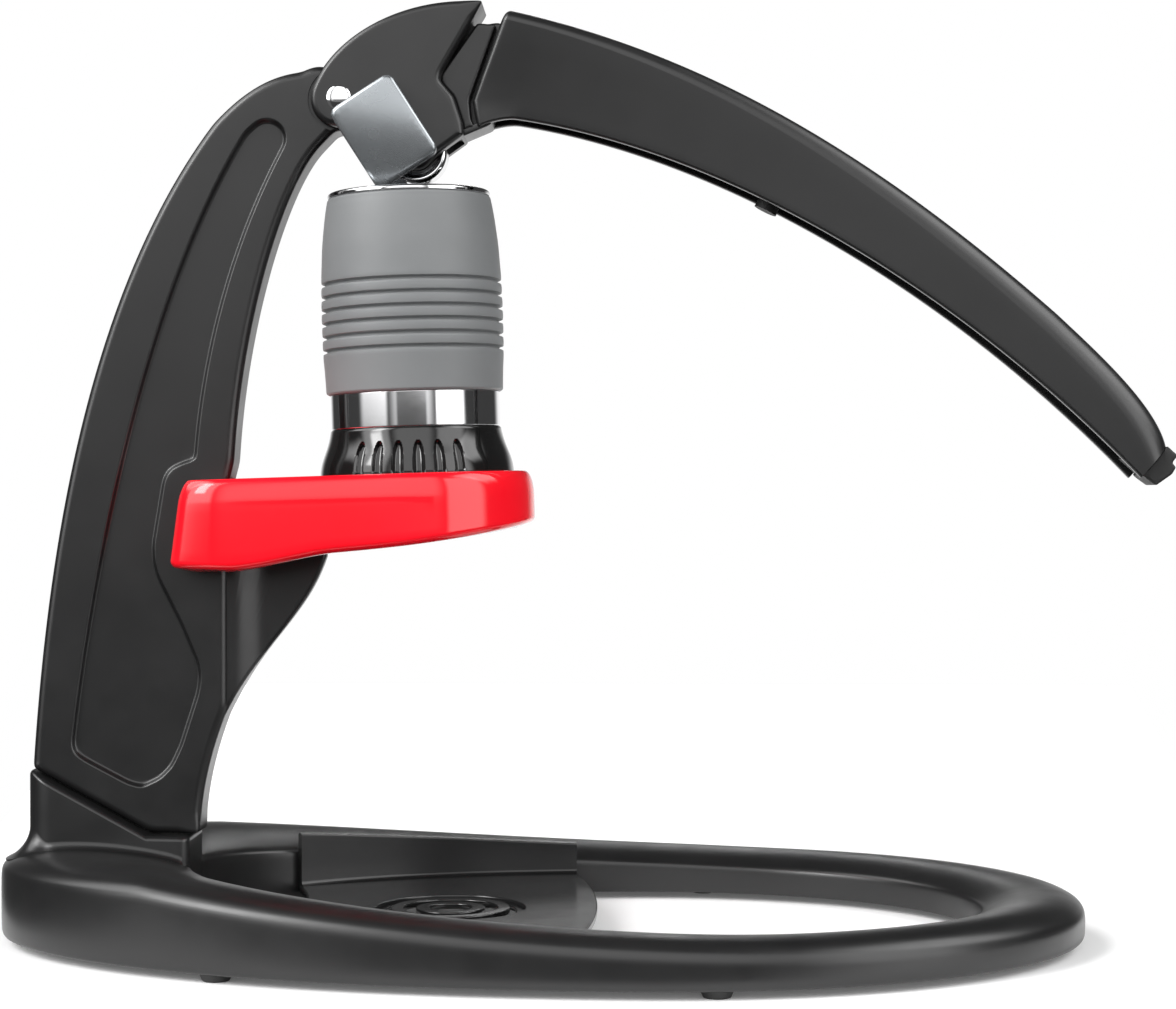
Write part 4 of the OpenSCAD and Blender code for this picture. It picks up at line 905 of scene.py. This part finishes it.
def make_bracket():
    shell = Shell()
    lean = math.degrees(math.asin((BRACKET_R - ARM_HALF_W) / BRACKET_REACH))
    slot_half, slot_end = POST_T / 2 + SIDE_GAP / 2, NECK_X + 0.2 - BREW_X
    # An arm's side turns in along a wide arc, then around its end along a tight one
    wide_r, tight_r, turn_in, tilt = 38.0, 6.5, 20.0, math.radians(lean)
    tight_x = -BRACKET_REACH + tight_r
    reach_y = BRACKET_R - wide_r + (wide_r - tight_r) * math.cos(math.radians(turn_in))
    tight_y = (reach_y + tight_x * math.sin(tilt)) / math.cos(tilt)
    joint = math.radians(90 + lean + turn_in)
    wide_x = tight_x - (wide_r - tight_r) * math.cos(joint)
    wide_y = tight_y - (wide_r - tight_r) * math.sin(joint)
    loop = soften(
        [
            arc((0, 0), BRACKET_R, -90 - lean, 90 + lean, 80),
            arc((wide_x, wide_y), wide_r, 90 + lean, 90 + lean + turn_in, 12),
            arc((tight_x, tight_y), tight_r, 90 + lean + turn_in, 180, 12)[1:],
            [(-BRACKET_REACH, slot_half), (slot_end, slot_half)],
            [(slot_end, -slot_half), (-BRACKET_REACH, -slot_half)],
            arc((tight_x, -tight_y), tight_r, 180, 270 - lean - turn_in, 12),
            arc((wide_x, -wide_y), wide_r, 270 - lean - turn_in, 270 - lean, 12)[1:],
        ],
        1.3,
    )
    normal = outward(loop)
    # Share of the way along an arm, from where it leaves the ring to its end
    arm_len = BRACKET_REACH - 30
    back = np.clip((arm_len - BRACKET_REACH - loop[:, 0]) / arm_len, 0, 1)
    r_top, top_h, r_low, slant, rise = 2.4, 6.5, 2.2, 3.9, 0.8
    under = bracket_under(loop[:, 0]) + rise * back

    def lean_in(p, z):
        """The arms' ends lean in towards the top."""
        share = np.clip(-z / BRACKET_BACK_H, 0, 1)
        q = p.copy()
        q[:, 0] += slant * (1 - share) * back**4
        return q

    edge = round_edge(8)
    top_z = np.full(len(loop), rise)
    levels = [(loop - normal * r_top * inset, top_z - top_h * drop) for inset, drop in edge]
    levels += [(loop, lerp(rise - top_h, under + r_low, t)) for t in np.linspace(0, 1, 7)[1:-1]]
    levels += [(loop - normal * r_low * inset, under + r_low * drop) for inset, drop in edge[::-1]]
    rings = [shell.ring([brew(*q) for q in np.column_stack([lean_in(p, z), z])]) for p, z in levels]
    shell.bands(rings)
    turn = arc((0, 0), BRACKET_BORE_R, 0, 360, 120)[:-1]
    bore_top = shell.ring([brew(x, y, rise) for x, y in turn])
    bore_low = shell.ring([brew(x, y, float(bracket_under(x))) for x, y in turn])
    shell.bands([bore_top, bore_low])
    shell.fill([rings[0], bore_top], (0, 1))

    def on_under(x, y):
        """Place on the underside below a place in the part's frame."""
        local_x = (x - BREW_X) / math.cos(BREW_TILT)
        local_x += float(bracket_under(local_x)) * math.tan(BREW_TILT)
        return brew(local_x, y, float(bracket_under(local_x)))

    shell.fill([rings[-1], bore_low], (0, 1), 3.0, on_under)
    piece("bracket_smooth", shell, ["brew_bracket"])


def make_brew_head():
    # Portafilter: a flared foot with two groups of grip flutes
    flare = [(FLARE_R, 1.4), (FLARE_R - 0.3, 5.6), (BAND_R + 1.2, 7.2), (BAND_R + 0.3, BAND_Z - 1.2)]
    outlet_r, low_z, inside_r, inside_z, seam_z = 6.0, -9.0, 20.9, -5.0, BAND_Z - 0.4
    profile = [(outlet_r, low_z), (BRACKET_BORE_R - 0.3, low_z), (BRACKET_BORE_R - 0.3, 0.0)]
    profile += [(FLARE_R - 0.7, 0.0), (FLARE_R - 0.2, 0.3), (FLARE_R, 0.8), *bezier(flare, 40).tolist()]
    profile += [(BAND_R + 0.2, BAND_Z - 0.7), (BAND_R - 0.1, seam_z)]
    profile += [(inside_r, seam_z), (inside_r, inside_z), (outlet_r, inside_z)]
    flute_n, pitch, half_w, depth, flute_h = 6, math.radians(12.5), math.radians(3.3), 1.6, 8.6

    def flutes(a, r, z):
        """Depth of the flutes around the foot: upright slots that end in an arch."""
        if r <= inside_r or not 0.9 < z < BAND_Z:
            return 0
        rise = (z - 1.0) / flute_h
        arch = math.sqrt(max(0.0, 1 - max(0.0, (rise - 0.5) / 0.5) ** 2)) if rise < 1 else 0.0
        if arch <= 0.02:
            return 0
        cut = np.zeros(len(a))
        for middle in (-math.pi / 2, math.pi / 2):
            for i in range(flute_n):
                d = (a - middle - pitch * (i - (flute_n - 1) / 2) + math.pi) % (2 * math.pi) - math.pi
                t = np.clip(np.abs(d) / (half_w * arch), 0, 1)
                cut = np.maximum(cut, np.sqrt(1 - t**2))
        return -depth * cut * min(1.0, arch * 1.3) * min(1.0, (z - 0.9) / 0.5)

    shell = Shell()
    lathe(shell, profile, brew, 720, flutes)
    piece("portafilter_smooth", shell, ["portafilter_base"], sharp=35)

    shell = Shell()
    spigot_r, spigot_z, rim_r = 20.7, 9.5, SLEEVE_TOP_R - 0.2
    profile = [
        (BORE_R, spigot_z), (spigot_r, spigot_z), (spigot_r, seam_z), (BAND_R - 0.3, seam_z),
        (BAND_R, BAND_Z - 0.1), (BAND_R, SLEEVE_Z), (BARREL_R, SLEEVE_Z), (BARREL_R, SLEEVE_TOP_Z),
        (rim_r, SLEEVE_TOP_Z), (rim_r, CYLINDER_TOP_Z - 0.5), (rim_r - 0.5, CYLINDER_TOP_Z),
        (BORE_R + 0.6, CYLINDER_TOP_Z), (BORE_R, CYLINDER_TOP_Z - 0.6),
    ]
    lathe(shell, rounded(profile, 0.25), brew, 192)
    piece("cylinder_smooth", shell, ["brew_cylinder"])

    # Sleeve: a soft outline with a group of round ribs between narrow slits
    groove_n, pitch, first_z, rib_r, slit_w, slit_depth = 6, 3.6, SLEEVE_Z + 11.7, 0.35, 0.6, 0.95
    foot_z, lip_h = SLEEVE_Z + 0.02, 0.7
    shape = [
        (foot_z, 24.0), (SLEEVE_Z + 6, 24.25), (SLEEVE_Z + 11, 24.6), (SLEEVE_Z + 22, RIB_R),
        (SLEEVE_Z + 31, 24.5), (SLEEVE_Z + 40, 24.0), (SLEEVE_Z + 47, 23.2),
        (SLEEVE_TOP_Z - 1.0, SLEEVE_TOP_R + 0.1), (SLEEVE_TOP_Z, SLEEVE_TOP_R - 0.3),
    ]
    heights = np.linspace(foot_z, SLEEVE_TOP_Z, 330)
    radii = np.interp(heights, *zip(*shape))
    radii = np.convolve(np.pad(radii, 12, "edge"), np.ones(25) / 25, "valid")
    for i in range(groove_n):
        d = np.abs(heights - first_z - i * pitch)
        radii -= rib_r * (1 - np.sqrt(1 - np.clip(1 - d / (pitch / 2), 0, 0.98) ** 2))
        radii -= slit_depth * np.clip(1 - (d / slit_w) ** 3, 0, 1)
    radii -= 0.7 * np.clip(1 - (heights - heights[0]) / lip_h, 0, 1) ** 2
    radii -= 0.6 * np.clip(1 - (heights[-1] - heights) / lip_h, 0, 1) ** 2
    inner = BARREL_R + 0.02
    profile = [(inner, heights[0])] + list(zip(radii, heights)) + [(inner, heights[-1])]
    shell = Shell()
    lathe(shell, profile, brew, 192)
    piece("sleeve_smooth", shell, ["silicone_sleeve"], sharp=50)


# Drip tray, grate and feet


def make_tray():
    shell = Shell()
    xs = np.linspace(TRAY_CORNER_X, TRAY_WALL_END_X, 60)
    side = np.array([(x, opening_y(x, TRAY_GAP)) for x in xs])
    back_y, end_y = side[0, 1], side[-1, 1]
    v = np.linspace(1, -1, 60)[1:-1]
    nose = np.stack([TRAY_WALL_END_X + TRAY_NOSE_LEN * (1 - v**2), v * end_y], 1)
    back = np.stack([TRAY_CORNER_X + TRAY_BACK_SAG * (1 - v**2), -v * back_y], 1)
    plan = soften([side, nose, side[::-1] * (1, -1), back], 0.9)
    normal = outward(plan)
    r, edge = 0.7, round_edge(4)
    levels = [(inset, TRAY_TOP_Z - r * drop) for inset, drop in edge]
    levels += [(inset, TRAY_BOTTOM_Z + r * drop) for inset, drop in edge[::-1]]
    rings = [shell.ring([(x, y, z) for x, y in plan - normal * r * inset]) for inset, z in levels]
    shell.bands(rings)
    # Seat of the grate: a wide hole above a narrow one
    turn = arc((0, 0), 1.0, 0, 360, 120)[:-1]
    ledge_z, seat_r = TRAY_BOTTOM_Z + 0.7, GRATE_R + 0.2
    seat = [(seat_r + 0.5, TRAY_TOP_Z), (seat_r + 0.15, TRAY_TOP_Z - 0.12), (seat_r, TRAY_TOP_Z - 0.45)]
    seat += [(seat_r, ledge_z), (18.7, ledge_z), (18.6, TRAY_BOTTOM_Z)]
    hole = [shell.ring([(GRATE_X + q * x, q * y, z) for x, y in turn]) for q, z in seat]
    shell.bands(hole)
    shell.fill([rings[0], hole[0]], (0, 1))
    shell.fill([rings[-1], hole[-1]], (0, 1))
    # Walls along the ring, the far one high, with a hollow curve onto the plate
    for way, rise in ((1, TRAY_FAR_RISE), (-1, TRAY_NEAR_RISE)):
        rings = []
        for x in xs:
            y = opening_y(x, TRAY_GAP)
            slope = opening_y(min(x + 0.5, TRAY_WALL_END_X), TRAY_GAP) - opening_y(x - 0.5, TRAY_GAP)
            n = np.array((-slope, 1.0)) / math.hypot(slope, 1)
            top = float(crown_z(x)) + rise
            hollow = min(1.2, 0.6 * (top - TRAY_TOP_Z))
            outer = [(0.0, top - 0.7), (0.2, top - 0.2), (0.7, top)]
            section = [(0.0, ledge_z)] + outer + [(TRAY_WALL_T - d, z) for d, z in outer[::-1]]
            section += [(TRAY_WALL_T + hollow * out, TRAY_TOP_Z + hollow * up) for up, out in round_edge(6)]
            section += [(TRAY_WALL_T + hollow, ledge_z)]
            rings.append(shell.ring([(x - d * n[0], way * (y - d * n[1]), z) for d, z in section]))
        shell.tube(rings)
    piece("drip_tray_smooth", shell, ["drip_tray"], "tray_plastic")

    # Grate: three rings, joined by four spokes
    shell = Shell()
    sizes = ((16.2, 12.9, TRAY_TOP_Z), (9.5, 5.9, TRAY_TOP_Z), (GRATE_R, 18.1, ledge_z + 0.7))
    for outer, inner, top in sizes:
        profile = rounded([(inner, ledge_z), (outer, ledge_z), (outer, top), (inner, top)], 0.35)
        lathe(shell, profile, upright(GRATE_X, 0), 128)
    spoke = resample(np.array([(6.5, -1.3), (19.2, -1.3), (19.2, 1.3), (6.5, 1.3)]), 0.6)
    for a in np.radians((45, 135, 225, 315)):
        c, s = math.cos(a), math.sin(a)
        plan = [(GRATE_X + c * x - s * y, s * x + c * y) for x, y in spoke]
        shell.tube([shell.ring([(x, y, z) for x, y in plan]) for z in (ledge_z + 0.02, ledge_z + 0.88)])
    piece("drip_grate_smooth", shell, ["drip_grate"], "gloss_black")


def make_feet():
    shell = Shell()
    foot_r, foot_h, inset = 4.25, 3.5, 2
    profile = [(AXIS_R, 0.0), (3.1, 0.0), (3.35, 0.08), (3.52, 0.3), (4.2, 1.9), (foot_r, 2.2)]
    profile += [(foot_r, foot_h), (AXIS_R, foot_h)]
    for x in (-91.0, 33.0):
        length = BASE_FRONT_LEN if x >= BASE_WIDE_X else BASE_BACK_LEN
        y = BASE_HALF_W * math.sqrt(1 - ((x - BASE_WIDE_X) / length) ** 2) - inset - foot_r
        for way in (-1, 1):
            lathe(shell, profile, upright(x, way * y), 48)
    piece("rubber_feet_smooth", shell, ["rubber_feet"])


for make in (
    make_base, make_post, make_head, make_handle, make_end_cap, make_yoke, make_roller, make_pivot_pin,
    make_bracket, make_brew_head, make_tray, make_feet,
):
    make()

# CAD nodes that stay as they are: a finish, and smooth shading between their real edges
for name, node in frame["nodes"].items():
    node.data.materials.clear()
    node.data.materials.append(MATERIALS[SLOT_OF[name]])
    node.data.polygons.foreach_set("use_smooth", [True] * len(node.data.polygons))
    node.data.set_sharp_from_angle(angle=math.radians(35))


# Studio: white floor and backdrop, two soft boxes with a weaker fill between, a strip overhead at each side


def math_node(tree, kind, a, b=None):
    node = tree.nodes.new("ShaderNodeMath")
    node.operation = kind
    for socket, value in zip(node.inputs, (a, b)):
        if isinstance(value, (int, float)):
            socket.default_value = value
        elif value is not None:
            tree.links.new(value, socket)
    return node.outputs[0]


def times(a, b):
    return math_node(studio, "MULTIPLY", a, b)


def plus(a, b):
    return math_node(studio, "ADD", a, b)


def degrees(value):
    return times(value, 180 / math.pi)


def map_range(value, x0, x1, y0, y1):
    node = studio.nodes.new("ShaderNodeMapRange")
    node.interpolation_type = "SMOOTHSTEP"
    set_inputs(node, From_Min=x0, From_Max=x1, To_Min=y0, To_Max=y1)
    studio.links.new(value, node.inputs["Value"])
    return node.outputs["Result"]


def window(value, x0, x1, x2, x3, low=0, high=1):
    """Level that rises from x0 to x1 and falls from x2 to x3."""
    return times(map_range(value, x0, x1, low, high), map_range(value, x2, x3, 1, 0))


def seen_by(tree):
    """Light Path's outputs for rays from the camera, and for those that gloss or glass sends on."""
    path = tree.nodes.new("ShaderNodeLightPath").outputs
    sent_on = math_node(tree, "MAXIMUM", path["Is Glossy Ray"], path["Is Transmission Ray"])
    return path["Is Camera Ray"], sent_on


world = bpy.data.worlds.new("studio")
bpy.context.scene.world = world
world.use_nodes = True
studio = world.node_tree
studio.nodes.clear()
axes = studio.nodes.new("ShaderNodeSeparateXYZ")
studio.links.new(studio.nodes.new("ShaderNodeTexCoord").outputs["Generated"], axes.inputs[0])
to_right, to_front, upward = axes.outputs["X"], times(axes.outputs["Y"], -1.0), axes.outputs["Z"]
aside = math_node(studio, "ABSOLUTE", to_right)
# Angle around the object, 0 at the camera's side and 180 at the backdrop, height, and angle over it
turn = degrees(math_node(studio, "ARCTAN2", aside, to_front))
height = degrees(math_node(studio, "ARCSINE", upward))
arch = degrees(math_node(studio, "ARCTAN2", upward, to_front))
ROOM, FILL, BOXES, OVERHEAD, CORE = 0.05, 1.7, (3.3, 2.8), 3.6, 11.0
MIDDLE = (-0.1, 0.1)
# The box on the right stands lower than the one on the left
box_height = plus(height, map_range(to_right, *MIDDLE, 0, 10))
box = times(window(turn, 31, 37, 68, 78), window(box_height, -2, 7, 48, 60, low=0.02))
box = times(box, map_range(to_right, *MIDDLE, *BOXES))
fill = times(times(map_range(turn, 20, 34, 1, 0), window(height, -4, 10, 48, 60)), FILL)
# A low dark gap in the fill, where the camera stands
gap = times(window(height, 0.1, 0.8, 2.8, 3.8), map_range(turn, 18, 22, 0.9, 0))
fill = times(fill, math_node(studio, "SUBTRACT", 1.0, gap))
overhead = times(window(arch, 58, 66, 104, 120), window(aside, 0.40, 0.55, 0.85, 0.95, high=OVERHEAD))
# Bright core of the left box
left_turn = times(turn, map_range(to_right, *MIDDLE, 1, 0))
core = times(times(window(left_turn, 42, 47, 58, 63), window(height, 17, 21, 46, 51)), CORE)
level = plus(plus(box, fill), plus(overhead, plus(core, ROOM)))
# The white backdrop, which gloss and glass show where it stands
backdrop = times(map_range(turn, 140, 162, 0, 1), map_range(height, 3, 16, 1, 0))
direct, mirrored = seen_by(studio)
strength = studio.nodes.new("ShaderNodeMix")
studio.links.new(math_node(studio, "MAXIMUM", direct, times(mirrored, backdrop)), strength.inputs["Factor"])
studio.links.new(level, strength.inputs["A"])
set_inputs(strength, B=1.0)
shade = studio.nodes.new("ShaderNodeBackground")
set_inputs(shade, Color=(1, 1, 1, 1))
studio.links.new(strength.outputs["Result"], shade.inputs["Strength"])
studio.links.new(shade.outputs[0], studio.nodes.new("ShaderNodeOutputWorld").inputs["Surface"])

floor_mesh = bpy.data.meshes.new("floor")
FLOOR = ((-0.172, -0.10), (0.172, -0.10), (0.32, 0.90), (-0.32, 0.90))
floor_mesh.from_pydata([(x, y, 0.0) for x, y in FLOOR], [], [(0, 1, 2, 3)])
floor = bpy.data.objects.new("floor", floor_mesh)
bpy.context.scene.collection.objects.link(floor)
pale = bpy.data.materials.new("pale floor")
pale.use_nodes = True
floor_tree = pale.node_tree
matt = floor_tree.nodes["Principled BSDF"]
set_inputs(matt, Base_Color=(0.93, 0.93, 0.93, 1), Roughness=0.9, Specular_IOR_Level=0.0)
# A slight lift of the floor where the camera, gloss and glass see it
LIFT = 0.09
glow = floor_tree.nodes.new("ShaderNodeEmission")
shown = math_node(floor_tree, "MAXIMUM", *seen_by(floor_tree))
floor_tree.links.new(math_node(floor_tree, "MULTIPLY", shown, LIFT), glow.inputs["Strength"])
both = floor_tree.nodes.new("ShaderNodeAddShader")
floor_tree.links.new(matt.outputs[0], both.inputs[0])
floor_tree.links.new(glow.outputs[0], both.inputs[1])
floor_tree.links.new(both.outputs[0], floor_tree.nodes["Material Output"].inputs["Surface"])
floor_mesh.materials.append(pale)

# Camera at the photo's view: focal length in pixels, and its place from the ring's and head's ellipses
PHOTO_W = 1176
FOCAL_PX = 2496
CAMERA_AT = (16.85, -679.8, 121.0)
CAMERA_YAW, CAMERA_PITCH = 1.42, 0.24
lens = bpy.data.cameras.new("camera")
lens.sensor_fit = "HORIZONTAL"
lens.sensor_width = 36
lens.lens = 36 * FOCAL_PX / PHOTO_W
lens.clip_start = 0.05
camera = bpy.data.objects.new("camera", lens)
camera.location = ((CAMERA_AT[0] + SHIFT) * MM, CAMERA_AT[1] * MM, CAMERA_AT[2] * MM)
camera.rotation_euler = (math.radians(90 - CAMERA_PITCH), 0, math.radians(CAMERA_YAW))
bpy.context.scene.collection.objects.link(camera)
bpy.context.scene.camera = camera
bpy.context.scene.view_settings.view_transform = "Standard"
